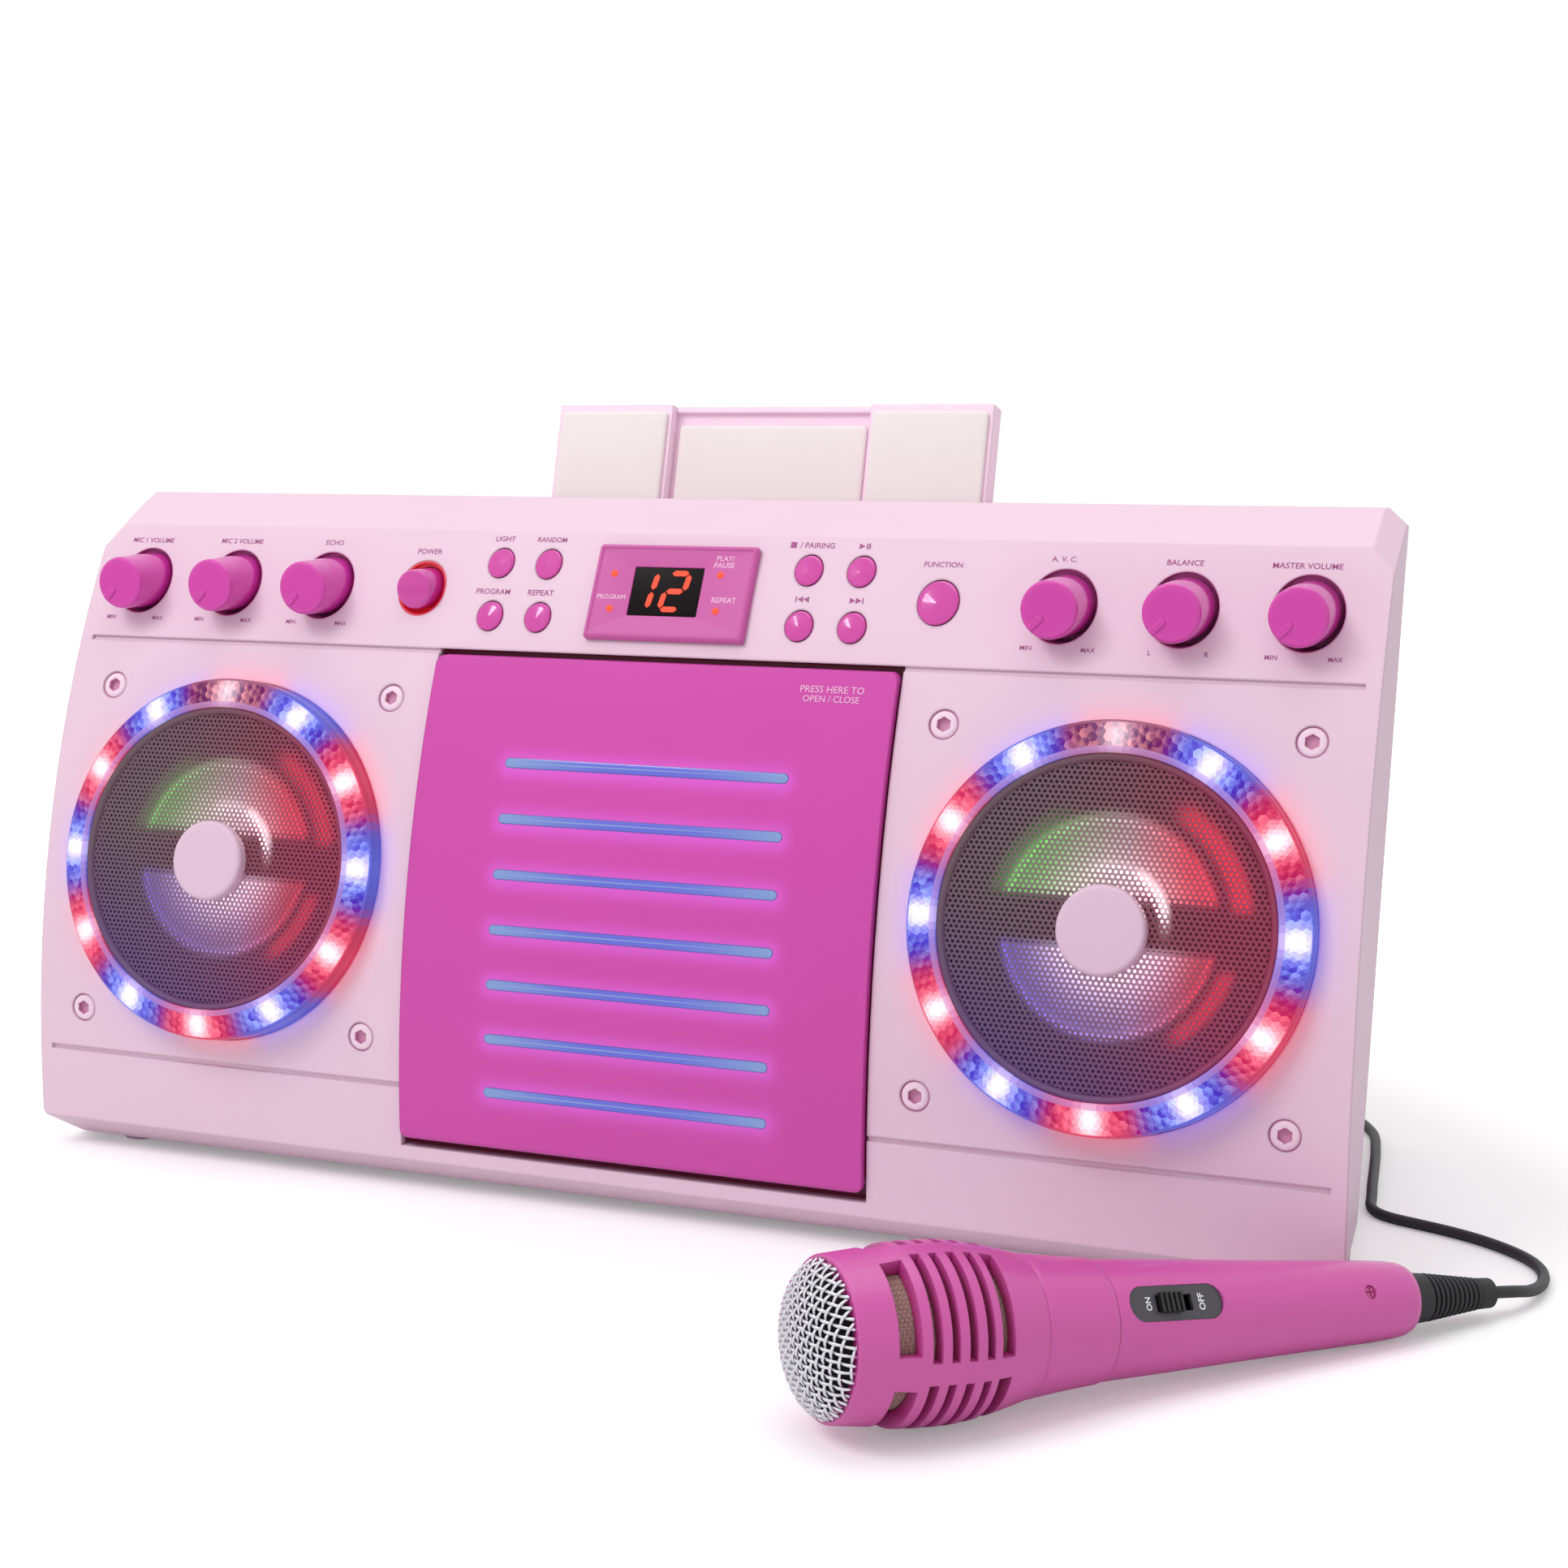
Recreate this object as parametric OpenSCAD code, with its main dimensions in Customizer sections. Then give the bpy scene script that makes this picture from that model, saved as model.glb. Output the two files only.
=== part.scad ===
// Karaoke machine with a front disc compartment, two loudspeakers and a wired microphone.
// The face is one large barrel arc. Millimetres, +Z up, the face looks along -Y, feet on Z = 0.

/* [Front panel] */
// Width of the front panel
front_w = 462; // [456:1:468]
// Radius of the barrel arc of the face
face_r = 388; // [380:1:396]
// Height at which the face stands upright
arc_z = 26; // [25:0.5:27]
// Height of the upper edge of the face
face_top = 220; // [219:0.5:221]
// Wall of the moulded shells
wall = 2.6; // [2.4:0.1:2.8]

/* [Door] */
// Width of the disc door
door_w = 165; // [163:0.5:166]
// Lower edge of the disc door
door_low = 19.5; // [19.3:0.1:19.8]
// Upper edge of the disc door
door_high = 179.2; // [178.5:0.1:179.6]
// Length of a light bar
bar_len = 100; // [90:1:110]
// Step between the light bars
bar_step = 17.75; // [17:0.25:18]

/* [Loudspeakers] */
// Distance of a loudspeaker from the middle of the panel
speaker_x = 156.7; // [156:0.1:157.5]
// Height of the loudspeaker axes
speaker_z = 107.6; // [107:0.1:108.5]
// Outer radius of the light ring
ring_r = 62.1; // [61.5:0.1:62.5]
// Inner radius of the light ring
ring_bore = 52; // [51:0.1:53]

/* [Controls] */
// Height of the row of controls
control_z = 200.5; // [200:0.1:201]
// Height of a knob above the middle of its recess
knob_h = 15.3; // [14:0.1:16]
// Radius of a knob at its front
knob_r = 9.1; // [8.8:0.1:9.2]
// Travel of a push button
button_travel = 1.2; // [0.8:0.1:1.5]

/* [Cabinet] */
// Depth of the whole console
depth = 185; // [180:1:190]
// Width of the rear wall
rear_w = 412; // [408:1:414]
// Lean of the tablet cradle
cradle_lean = 15.4; // [14:0.1:17]

/* [Microphone] */
// Direction of the microphone on the table
mic_turn = 46.3; // [45:0.1:47]
// Droop of its axis from head to tail
mic_droop = 5.1; // [5.1:0.1:5.3]
// Distance from the tip of the dome to the end of the handle
mic_len = 191.2; // [190:0.1:192]
// Diameter of the cord
cord_d = 3.6; // [3.4:0.1:3.8]
// Radius of the plug's contact
plug_r = 3.175; // [3.17:0.005:3.18]

/* [Hidden] */
$fn = 96;
body_pink = [0.90, 0.80, 0.87];
magenta = [0.81, 0.33, 0.66];
knob_pink = [0.82, 0.36, 0.68];
mic_pink = [0.84, 0.43, 0.71];
rubber_black = [0.12, 0.12, 0.13];
metal_grey = [0.72, 0.72, 0.74];

// The origin lies under the middle of console and microphone together.
set_x = -20.8;
set_y = -18.2;

// Console body
half_w = front_w / 2;
top_z = 231;
low_z = 3.3;
bevel_front_low = [0, 11.5];
bevel_rear_low = [11, low_z];
bevel_front_top = [52, face_top];
bevel_rear_top = [70, top_z];
parting_low = [14, low_z];
parting_top = [74, top_z];
parting_tilt = atan2(parting_top.x - parting_low.x, parting_top.y - parting_low.y);
parting_len = norm(parting_top - parting_low);
opening_low = 16.3;
opening_high = 181;
opening_half = 83.3;
panel_edge = 226;
groove_top_z = 180.3;
groove_low_z = 37;
hex_x = [98.7, 212.3];
hex_z = [51.9, 164.2];

// Controls
knob_pitch = 37.8;
knob_first = 132.6;
knob_shift = -1.2;
knob_x = [for (s = [-1, 1], k = s < 0 ? [2, 1, 0] : [0, 1, 2]) knob_shift + s * (knob_first + k * knob_pitch)];
knob_base_r = 9.6;
recess_r = 11.1;
recess_d = 8.2;
small_x = [-66.7, -48.6, 45.6, 63.7];
small_z = [192.1, 209.4];
small_r = 4.7;
button_proud = 0.6;
power_x = -95.1;
power_r = 6.7;
power_proud = 6.2;
power_cup_r = 9.1;
power_cup_d = 6.6;
function_x = 91.2;
function_r = 6.75;
clear = 0.3;
display_at = [-0.9, 200.75];
display_size = [57.4, 33.7];
window_size = [25, 17.4];
window_at = [-2, 0.1];
lamp_at = [[-21.4, 6.1], [16.8, 6.4], [-20.7, -6.4], [17.4, -6.3]];
board_behind = 21;
boss_len = 10;

// Door and disc mechanism
door_proud = 2.15;
door_thick = 3.2;
hinge_y = 4.1;
hinge_z = 22.4;
hinge_pin_r = 1.2;
chord_tilt = 11.1;
tray_back = 10;
tray_y = 15.7 + tray_back * cos(chord_tilt);
tray_z = 99.3 - tray_back * sin(chord_tilt);
well_r = 62;
well_d = 6;

// Cradle
cradle_y = 118;
cradle_z = 222.5;
cradle_half = 83;
cradle_h = 40.4;
cradle_pin_r = 1.5;
recess_front = 97;
recess_rear = 163;

// Microphone
mic_tip = [116.8, -145];
mic_roll = 33;
relief_end = 222.5;

function face_y(z) = z <= arc_z ? 0 : face_r - sqrt(face_r * face_r - (z - arc_z) * (z - arc_z));
function lean(z) = z <= arc_z ? 0 : asin((z - arc_z) / face_r);

// Stands its children on the face at height z, their Z axis pointing out of the panel.
module on_face(x, z) {
    translate([x, face_y(z), z]) rotate([90 - lean(z), 0, 0]) children();
}

// Stands its children on the face at height z, their Z axis level and pointing forwards, as every control points.
module at_control(x, z) {
    translate([x, face_y(z), z]) rotate([90, 0, 0]) children();
}

// Frame of the display.
module at_display() {
    on_face(display_at.x, display_at.y) children();
}

// Frame of a loudspeaker.
module at_speaker(side) {
    on_face(side * speaker_x, speaker_z) children();
}

// Frame of the disc: Z points out of the compartment.
module at_disc() {
    translate([0, tray_y, tray_z]) rotate([90 - chord_tilt, 0, 0]) children();
}

// Extrudes a side view, drawn as depth and height, across the width.
module across(w) {
    rotate([90, 0, 90]) linear_extrude(w, center = true) children();
}

// Half plane on the right of the line from p to q, drawn in by inset.
module right_of(p, q, inset) {
    translate(p) rotate(atan2(q.y - p.y, q.x - p.x)) translate([-600, -600 - inset]) square([1200, 600]);
}

// Side view of everything behind the face, drawn in by inset.
module face_region(inset) {
    union() {
        translate([face_r, arc_z]) circle(face_r - inset, $fn = 360);
        translate([inset, -20]) square([face_r, arc_z + 20]);
    }
}

// Side view of the console.
module side_view(inset) {
    intersection() {
        face_region(inset);
        right_of(bevel_front_top, bevel_rear_top, inset);
        right_of(bevel_rear_low, bevel_front_low, inset);
        translate([0, low_z + inset]) square([300, top_z - low_z - 2 * inset]);
    }
}

// Block that trims a corner along the plane through p with the given normal angles.
module corner_trim(p, turn, rise, inset) {
    translate(p) rotate([0, 90 - rise, turn]) translate([-40, -40, -inset]) cube([80, 80, 60]);
}

// Solid of the front panel, drawn in by inset, with its four corners trimmed.
module panel_solid(inset) {
    difference() {
        across(front_w - 2 * inset) intersection() {
            side_view(inset);
            if (inset == 0) right_of(parting_top, parting_low, 0);
        }
        for (s = [0, 1]) mirror([s, 0, 0]) {
            corner_trim([half_w - 7, bevel_front_top.x, face_top], -40, 46, inset);
            corner_trim([half_w - 5.7, bevel_rear_top.x, top_z - 0.4], 0, 48.6, inset);
            corner_trim([half_w - 0.5, 0, 12.5], 14.9, -28.3, inset);
        }
    }
}

// Round-ended bar lying along X.
module stadium(len, wide, high) {
    translate([-len / 2 + wide / 2, -wide / 2, 0]) cube([len - wide, wide, high]);
    for (s = [-1, 1]) translate([s * (len - wide) / 2, 0, 0]) cylinder(d = wide, h = high, $fn = 32);
}

// Moulded front panel with its grooves, recesses and holes.
module front_panel() {
    color(body_pink) difference() {
        union() {
            difference() {
                panel_solid(0);
                panel_solid(wall);
            }
            intersection() {
                union() {
                    for (x = knob_x) at_control(x, control_z) translate([0, 0, -recess_d - 1.6])
                        cylinder(r = recess_r + 1.6, h = recess_d + 8);
                    at_control(power_x, control_z) translate([0, 0, -power_cup_d - 1.6])
                        cylinder(r = power_cup_r + 1.6, h = power_cup_d + 8);
                    for (s = [-1, 1], x = hex_x, z = hex_z)
                        on_face(s * x, z) translate([0, 0, -boss_len]) cylinder(r = 6.2, h = boss_len);
                }
                panel_solid(0);
            }
        }
        translate([-opening_half, -30, opening_low]) cube([2 * opening_half, 120, opening_high - opening_low]);
        for (s = [-1, 1]) at_speaker(s) translate([0, 0, -40]) cylinder(r = ring_r + 0.2, h = 80);
        for (s = [-1, 1]) {
            for (x = hex_x, z = hex_z) on_face(s * x, z) {
                translate([0, 0, -2.4]) cylinder(r = 4.9, h = 10, $fn = 48);
                translate([0, 0, -12]) cylinder(r = 1.5, h = 12, $fn = 32);
            }
            translate([s * (opening_half + panel_edge) / 2, 0, 0]) {
                on_face(0, groove_top_z) cube([panel_edge - opening_half + 0.2, 1.6, 2], center = true);
                on_face(0, groove_low_z) cube([panel_edge - opening_half + 0.2, 1.6, 2], center = true);
            }
        }
        for (x = knob_x) at_control(x, control_z) {
            translate([0, 0, -recess_d]) cylinder(r = recess_r, h = 30);
            translate([0, 0, -20]) cylinder(r = 3.4, h = 20, $fn = 48);
        }
        at_control(power_x, control_z) {
            translate([0, 0, -power_cup_d]) cylinder(r = power_cup_r, h = 30);
            translate([0, 0, -20]) cylinder(r = power_r + clear, h = 20);
        }
        at_control(function_x, control_z) translate([0, 0, -14]) cylinder(r = function_r + clear, h = 30);
        for (x = small_x, z = small_z) at_control(x, z)
            translate([0, 0, -14]) cylinder(r = small_r + clear, h = 30, $fn = 48);
        at_display() translate([-24, -10, -8]) cube([46, 22, 16]);
    }
}

// Outline of the cabinet where it meets the front panel.
module cabinet_mouth(inset, reach) {
    translate([0, parting_low.x, parting_low.y]) rotate([90 - parting_tilt, 0, 0])
        translate([0, parting_len / 2, -0.02]) linear_extrude(reach)
            polygon([for (s = [-1, 1]) each let (w = front_w / 2 - 1.5 - inset, h = parting_len / 2 - inset)
                s < 0 ? [[-w, -h], [-w, h - 7], [7 - w, h]] : [[w - 7, h], [w, h - 7], [w, -h]]]);
}

// Outline of the rear wall, with cut corners.
module cabinet_back(inset) {
    high = top_z - 5;
    translate([0, depth - inset, 0]) rotate([90, 0, 0]) linear_extrude(0.02) polygon([
        for (s = [1, -1]) each [for (p = [[rear_w / 2, low_z + 8], [rear_w / 2, high - 8], [rear_w / 2 - 10, high]])
            [s * (p.x - inset), p.y + (p.y > 100 ? -inset : inset)]],
        for (s = [-1, 1]) [s * (rear_w / 2 - 10 - inset), low_z + inset]]);
}

// Closed form of the cabinet behind the front panel, drawn in by inset.
module cabinet_solid(inset, reach) {
    hull() {
        cabinet_mouth(inset, reach);
        cabinet_back(inset);
        if (inset == 0) translate([-rear_w / 2 + 10, depth - 9, low_z]) cube([rear_w - 20, 2, 1]);
    }
}

jack_x = [170, 148, 126, 110];
jack_z = 50;
screw_at = [[-186, 24], [186, 24], [-186, 205], [186, 205], [-60, 24], [-60, 205]];

// Rear half of the casing, with the cradle recess in its top.
module rear_cabinet() {
    color(body_pink) difference() {
        union() {
            difference() {
                cabinet_solid(0, 0.02);
                cabinet_solid(wall, 6);
            }
            intersection() {
                cabinet_solid(0, 0.02);
                union() {
                    translate([-90, recess_front - wall, 215.4])
                        cube([180, recess_rear - recess_front + 2 * wall, 30]);
                    for (p = screw_at) translate([p.x, depth - 26, p.y]) rotate([-90, 0, 0])
                        cylinder(r = 5, h = 40, $fn = 48);
                }
            }
        }
        translate([-84.5, 108, 218]) cube([169, recess_rear - 108, 40]);
        translate([-84.5, recess_front, 225]) cube([169, 20, 40]);
        translate([-100, cradle_y, cradle_z]) rotate([0, 90, 0]) cylinder(r = cradle_pin_r, h = 200, $fn = 48);
        translate([96, depth - 12, jack_z - 13]) cube([88, 30, 26]);
        for (p = screw_at) translate([p.x, depth, p.y]) rotate([90, 0, 0]) {
            translate([0, 0, -1]) cylinder(r = 4, h = 3.4, $fn = 48);
            cylinder(r = 1.5, h = 22, $fn = 32);
        }
    }
}

// Clear ring over the lamps of one loudspeaker.
module light_ring(side) {
    color([0.75, 0.8, 1, 0.6]) at_speaker(side) rotate_extrude() polygon([
        [ring_r, -7], [ring_r, 5], [ring_r - 1, 6.2], [ring_bore + 0.9, 8.7], [ring_bore, 8.2],
        [ring_bore, 3.4], [ring_r - 3, 1.6], [ring_r - 3, -7]]);
}

// Pressed grille with its turned-back rim.
module grille(side) {
    color([0.45, 0.32, 0.4]) at_speaker(side) rotate_extrude() polygon([
        [0, 6], [ring_bore - 1.3, 6], [ring_bore - 1.3, -5],
        [ring_bore - 0.1, -5], [ring_bore - 0.1, 7.2], [0, 7.2]]);
}

// Round cap in the middle of a grille.
module speaker_cap(side) {
    color(body_pink) at_speaker(side) rotate_extrude() polygon([
        [0, 7.2], [14.6, 7.2], [14.6, 9.9], [14.3, 10.6], [13.4, 11], [0, 11]]);
}

// Lamp boards: one narrow ring under each light ring.
module lamp_boards() {
    color([0.9, 0.9, 0.85]) for (s = [-1, 1]) at_speaker(s) {
        difference() {
            translate([0, 0, -3.2]) cylinder(r = ring_r - 3.2, h = 1.6);
            translate([0, 0, -4]) cylinder(r = ring_bore + 0.3, h = 4);
        }
        for (k = [0 : 11]) rotate(k * 30) translate([55.6, 0, -1.6]) cylinder(r = 1.6, h = 1.8, $fn = 24);
    }
}

// Loudspeaker frame with its square mounting plate, basket and magnet.
module speaker_frame(side) {
    color([0.25, 0.25, 0.28]) at_speaker(side) difference() {
        union() {
            translate([-58, -58, -20]) cube([116, 116, 3]);
            rotate_extrude() polygon([[0, -20], [ring_r - 0.2, -20], [ring_r - 0.2, -7.1], [ring_r - 3.3, -7.1],
                [ring_r - 3.3, -3.2], [0, -3.2]]);
            rotate_extrude() polygon([[0, -50], [34, -50], [34, -36], [36, -36], [50, -20], [0, -20]]);
        }
        rotate_extrude() polygon([[0, -1], [ring_bore + 0.3, -1], [ring_bore + 0.3, -7], [48, -7], [46, -14],
            [33, -33.5], [0, -33.5]]);
    }
}

// Cones of both loudspeakers with their dust caps.
module speaker_cones() {
    color([0.2, 0.2, 0.22]) for (s = [-1, 1]) at_speaker(s) rotate_extrude() polygon([
        [0, -33.5], [14, -33.5], [14, -31], [42, -12.4], [46, -12.4], [46, -8], [44, -8], [42, -11],
        [16, -27.6], [11, -24.6], [0, -23]]);
}

// Hexagon-socket screws of the front panel.
module hex_screws() {
    color(body_pink) for (s = [-1, 1], x = hex_x, z = hex_z) on_face(s * x, z) difference() {
        union() {
            translate([0, 0, -2.4]) cylinder(r = 4.2, h = 2.6, $fn = 48);
            translate([0, 0, -10]) cylinder(r = 1.5, h = 8, $fn = 32);
        }
        translate([0, 0, -1.2]) cylinder(r = 2.5, h = 4, $fn = 6);
    }
}

// Front view of the door: a rectangle with rounded corners.
module door_outline(grow) {
    w = door_w + 2 * grow;
    h = door_high - door_low + 2 * grow;
    r = 3;
    translate([-w / 2, door_low - grow]) {
        translate([r, 0]) square([w - 2 * r, h]);
        translate([0, r]) square([w, h - 2 * r]);
        for (x = [r, w - r], y = [r, h - r]) translate([x, y]) circle(r, $fn = 32);
    }
}

// Curved disc door with the seats of its light bars, its catch and hinge lugs.
module disc_door() {
    color(magenta) difference() {
        union() {
            intersection() {
                across(door_w) difference() {
                    translate([face_r, arc_z]) circle(face_r + door_proud, $fn = 360);
                    translate([face_r, arc_z]) circle(face_r + door_proud - door_thick, $fn = 360);
                }
                rotate([90, 0, 0]) linear_extrude(200, center = true) door_outline(0);
            }
            for (s = [-1, 1]) translate([s * 76.5 - 2.5, 0, 0]) {
                translate([0, hinge_y, hinge_z]) rotate([0, 90, 0]) cylinder(r = 2.8, h = 5, $fn = 48);
                translate([0, 0, hinge_z - 2.4]) cube([5, hinge_y, 5.2]);
            }
            on_face(60, 171) translate([-3, -3, -8]) cube([6, 5, 9]);
            on_face(60, 171) translate([-3, -6, -8]) cube([6, 4, 2]);
        }
        translate([-90, hinge_y, hinge_z]) rotate([0, 90, 0]) cylinder(r = hinge_pin_r + 0.05, h = 180, $fn = 48);
        translate([0, -door_proud, door_low]) rotate([45, 0, 0]) cube([180, 1.7, 1.7], center = true);
        for (k = [0 : 6]) on_face(0, 38.5 + bar_step * k) translate([0, 0, 0.15]) stadium(bar_len, 2.6, 8);
    }
}

// Seven light bars let into the door.
module door_light_bars() {
    color([0.55, 0.5, 0.85]) for (k = [0 : 6])
        on_face(0, 38.5 + bar_step * k) translate([0, 0, 0.2]) stadium(bar_len, 2.6, 2.15);
}

// Hinge pins of the door and of the cradle.
module hinge_pins() {
    color(metal_grey) {
        for (s = [-1, 1]) translate([s * 79.5 - 6, hinge_y, hinge_z]) rotate([0, 90, 0])
            cylinder(r = hinge_pin_r, h = 12, $fn = 48);
        translate([-89, cradle_y, cradle_z]) rotate([0, 90, 0]) cylinder(r = cradle_pin_r, h = 178, $fn = 48);
    }
}

// Well behind the door, with its round disc seat and the slot of the laser.
module disc_tray() {
    color([0.35, 0.33, 0.36]) difference() {
        union() {
            intersection() {
                at_disc() translate([-86, -86, -10]) cube([172, 172.3, 60]);
                across(200) translate([face_r, arc_z]) circle(face_r - wall - 0.1, $fn = 360);
            }
            at_disc() for (s = [-1, 1], y = [-68, -20]) translate([s * 11 - 3, y, -16.5]) cube([6, 4, 7]);
        }
        at_disc() {
            translate([-83.2, -83.5, 0]) cube([166.4, 167.3, 80]);
            translate([0, 0, -well_d]) cylinder(r = well_r, h = 40, $fn = 180);
            translate([0, 0, -30]) cylinder(r = 16, h = 60);
            translate([-16, -58, -30]) cube([32, 50, 60]);
            for (s = [-1, 1]) translate([s * 11, -70, -13.5]) rotate([-90, 0, 0])
                cylinder(r = 1.2, h = 56, $fn = 32);
        }
        translate([-90, hinge_y, hinge_z]) rotate([0, 90, 0]) cylinder(r = hinge_pin_r, h = 180, $fn = 48);
    }
}

// Turntable with its centring hub and shaft.
module turntable() {
    color(rubber_black) at_disc() rotate_extrude() polygon([
        [0, -17], [1, -17], [1, -4.6], [14.5, -4.6], [14.5, -3], [7.4, -3], [7.4, -1], [5.5, 0.8], [0, 0.8]]);
}

// Motor of the turntable on its mounting plate.
module spindle_motor() {
    color(metal_grey) at_disc() difference() {
        union() {
            translate([0, 0, -22]) cylinder(r = 12, h = 10.4);
            translate([-22, -7, -11.6]) cube([44, 28, 1.6]);
        }
        translate([0, 0, -18]) cylinder(r = 1.04, h = 20, $fn = 48);
    }
}

// Laser sled with its lens, near the middle of the disc.
module laser_sled() {
    color([0.2, 0.2, 0.22]) at_disc() difference() {
        union() {
            translate([-14.5, -39, -17]) cube([29, 16, 6]);
            translate([-10, -37, -11]) cube([20, 12, 4.5]);
            translate([0, -31, -6.5]) cylinder(r = 2.6, h = 1.2, $fn = 48);
        }
        for (s = [-1, 1]) translate([s * 11, -45, -13.5]) rotate([-90, 0, 0])
            cylinder(r = 1.25, h = 30, $fn = 32);
    }
}

// Two rods that the laser sled slides on.
module sled_rails() {
    color(metal_grey) at_disc() for (s = [-1, 1]) translate([s * 11, -68, -13.5]) rotate([-90, 0, 0])
        cylinder(r = 1.2, h = 52, $fn = 32);
}

// Control board behind the row of controls, and the main board on the floor of the cabinet.
module circuit_boards() {
    color([0.1, 0.4, 0.25]) {
        translate([-220, board_y, control_z - 14]) cube([440, 1.6, 26]);
        translate([-80, 90, 12]) cube([160, 80, 1.6]);
        for (x = [-75, 75], y = [95, 165]) translate([x, y, low_z + wall]) cylinder(r = 3, h = 12 - low_z - wall);
    }
}

// Distance from the face at height z back to the control board.
board_y = face_y(control_z) + board_behind;
function board_depth(z) = board_y - face_y(z);

// Rotary controls and button switches on the control board.
module rotary_controls() {
    color([0.3, 0.3, 0.34]) {
        for (x = knob_x) at_control(x, control_z) difference() {
            translate([0, 0, -board_behind]) cylinder(r = 8, h = board_behind - recess_d - 2);
            translate([0, 0, -board_behind + 1]) cylinder(r = 3.05, h = 30, $fn = 48);
        }
        for (x = [power_x, function_x]) at_control(x, control_z)
            translate([-3, -3, -board_behind]) cube([6, 6, 2.2]);
        for (x = small_x, z = small_z) at_control(x, z) translate([-3, -3, -board_depth(z)]) cube([6, 6, 2.2]);
    }
}

// Knob with a raised pointer, at its lowest setting, on its shaft.
module knob(x) {
    color(knob_pink) at_control(x, control_z) {
        rotate_extrude() polygon([[0, -board_behind + 1.5], [3, -board_behind + 1.5], [3, -recess_d + 0.6],
            [knob_base_r, -recess_d + 0.6], [knob_r + 0.15, knob_h - 1.5], [knob_r - 0.35, knob_h - 0.4],
            [knob_r - 1.2, knob_h], [0, knob_h]]);
        rotate(225) translate([0, 0, knob_h - 0.5]) {
            translate([3.1, -1.25, 0]) cube([5.1, 2.5, 1]);
            translate([3.1, 0, 0]) cylinder(r = 1.25, h = 1, $fn = 32);
        }
    }
}

// Stem of a push button, from under its cap to its switch.
module button_stem(z) {
    foot = -board_depth(z) + 2.2 + button_travel + 0.1;
    translate([0, 0, foot]) cylinder(r = 1.5, h = -8 - foot, $fn = 32);
}

// Push button whose cap is cut along the face, with a low dome.
module push_button(x, z, r) {
    color(knob_pink) {
        intersection() {
            at_control(x, z) translate([0, 0, -9]) cylinder(r = r, h = 30);
            on_face(x, z) rotate_extrude() polygon([
                [0, -20], [r + 9, -20], [r + 9, button_proud - 2], [r * 1.15, button_proud - 0.4],
                [r * 0.85, button_proud], [r * 0.5, button_proud + 0.2], [0, button_proud + 0.3]]);
        }
        at_control(x, z) button_stem(z);
    }
}

// Power button: a round cap that stands out level, with a low dome.
module power_button() {
    color(knob_pink) at_control(power_x, control_z) {
        rotate_extrude() polygon([
            [0, -9], [power_r, -9], [power_r, power_proud - 1.1], [power_r - 0.4, power_proud - 0.4],
            [power_r - 1.2, power_proud], [power_r * 0.5, power_proud + 0.3], [0, power_proud + 0.4]]);
        button_stem(control_z);
    }
}

// Lit cup around the power button, cut along the face.
module power_ring() {
    color([0.85, 0.15, 0.12]) difference() {
        intersection() {
            at_control(power_x, control_z) translate([0, 0, -power_cup_d]) cylinder(r = power_cup_r, h = 30);
            across(400) translate([face_r, arc_z]) circle(face_r, $fn = 360);
        }
        at_control(power_x, control_z) {
            translate([0, 0, -power_cup_d + 1]) cylinder(r = power_cup_r - 0.7, h = 30);
            translate([0, 0, -power_cup_d - 1]) cylinder(r = power_r + clear, h = 6);
        }
    }
}

// Plate around the display, a low frustum with a sunken field.
module display_plate() {
    color(magenta) at_display() difference() {
        union() {
            translate([-display_size.x / 2, -display_size.y / 2, 0.15]) cube([display_size.x, display_size.y, 1.6]);
            translate([-display_size.x / 2 + 0.7, -display_size.y / 2 + 0.7, 1.5])
                cube([display_size.x - 1.4, display_size.y - 1.4, 1.1]);
            translate([-23.5, -9.5, -3]) cube([45, 21, 4]);
        }
        translate([-display_size.x / 2 + 2.2, -display_size.y / 2 + 2.2, 2.1])
            cube([display_size.x - 4.4, display_size.y - 4.4, 2]);
        translate([window_at.x - window_size.x / 2, window_at.y - window_size.y / 2, -5])
            cube([window_size.x, window_size.y, 10]);
        for (p = lamp_at) translate([p.x, p.y, -5]) cylinder(r = 1.2, h = 10, $fn = 32);
    }
}

// Dark window with the two digits of the display behind it.
module display_window() {
    color([0.08, 0.02, 0.03]) at_display()
        translate([window_at.x - window_size.x / 2, window_at.y - window_size.y / 2, -3])
        cube([window_size.x, window_size.y, 4.6]);
}

// Four indicator lamps beside the window.
module indicator_lamps() {
    color([1, 0.3, 0.2]) at_display() for (p = lamp_at)
        translate([p.x, p.y, -3]) cylinder(r = 1.2, h = 5.4, $fn = 32);
}

// Frame of the cradle: Z runs up the plate, Y points to its back.
module at_cradle() {
    translate([0, cradle_y, cradle_z]) rotate([-cradle_lean, 0, 0]) children();
}

// Tablet cradle that folds back into the top.
module cradle() {
    color([0.90, 0.75, 0.83]) at_cradle() difference() {
        union() {
            translate([-cradle_half, 0, 0]) cube([2 * cradle_half, 3, cradle_h]);
            for (s = [-1, 1]) translate([s * 60.5 - 22.5, -5, 3.4]) cube([45, 5.2, cradle_h - 3.4]);
            translate([-cradle_half, -2, cradle_h - 2]) cube([2 * cradle_half, 3, 2]);
            translate([-cradle_half, 0, 0]) rotate([0, 90, 0]) cylinder(r = 3, h = 2 * cradle_half, $fn = 48);
        }
        translate([-100, 0, 0]) rotate([0, 90, 0]) cylinder(r = cradle_pin_r + 0.05, h = 200, $fn = 48);
    }
}

// Foam pads of the cradle.
module cradle_pads() {
    color([0.94, 0.91, 0.90]) at_cradle() {
        for (s = [-1, 1]) translate([s * 60.5 - 21.1, -7, 4]) cube([42.2, 2, cradle_h - 6.6]);
        translate([-36, -2, 4]) cube([72, 2, cradle_h - 10.4]);
    }
}

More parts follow.
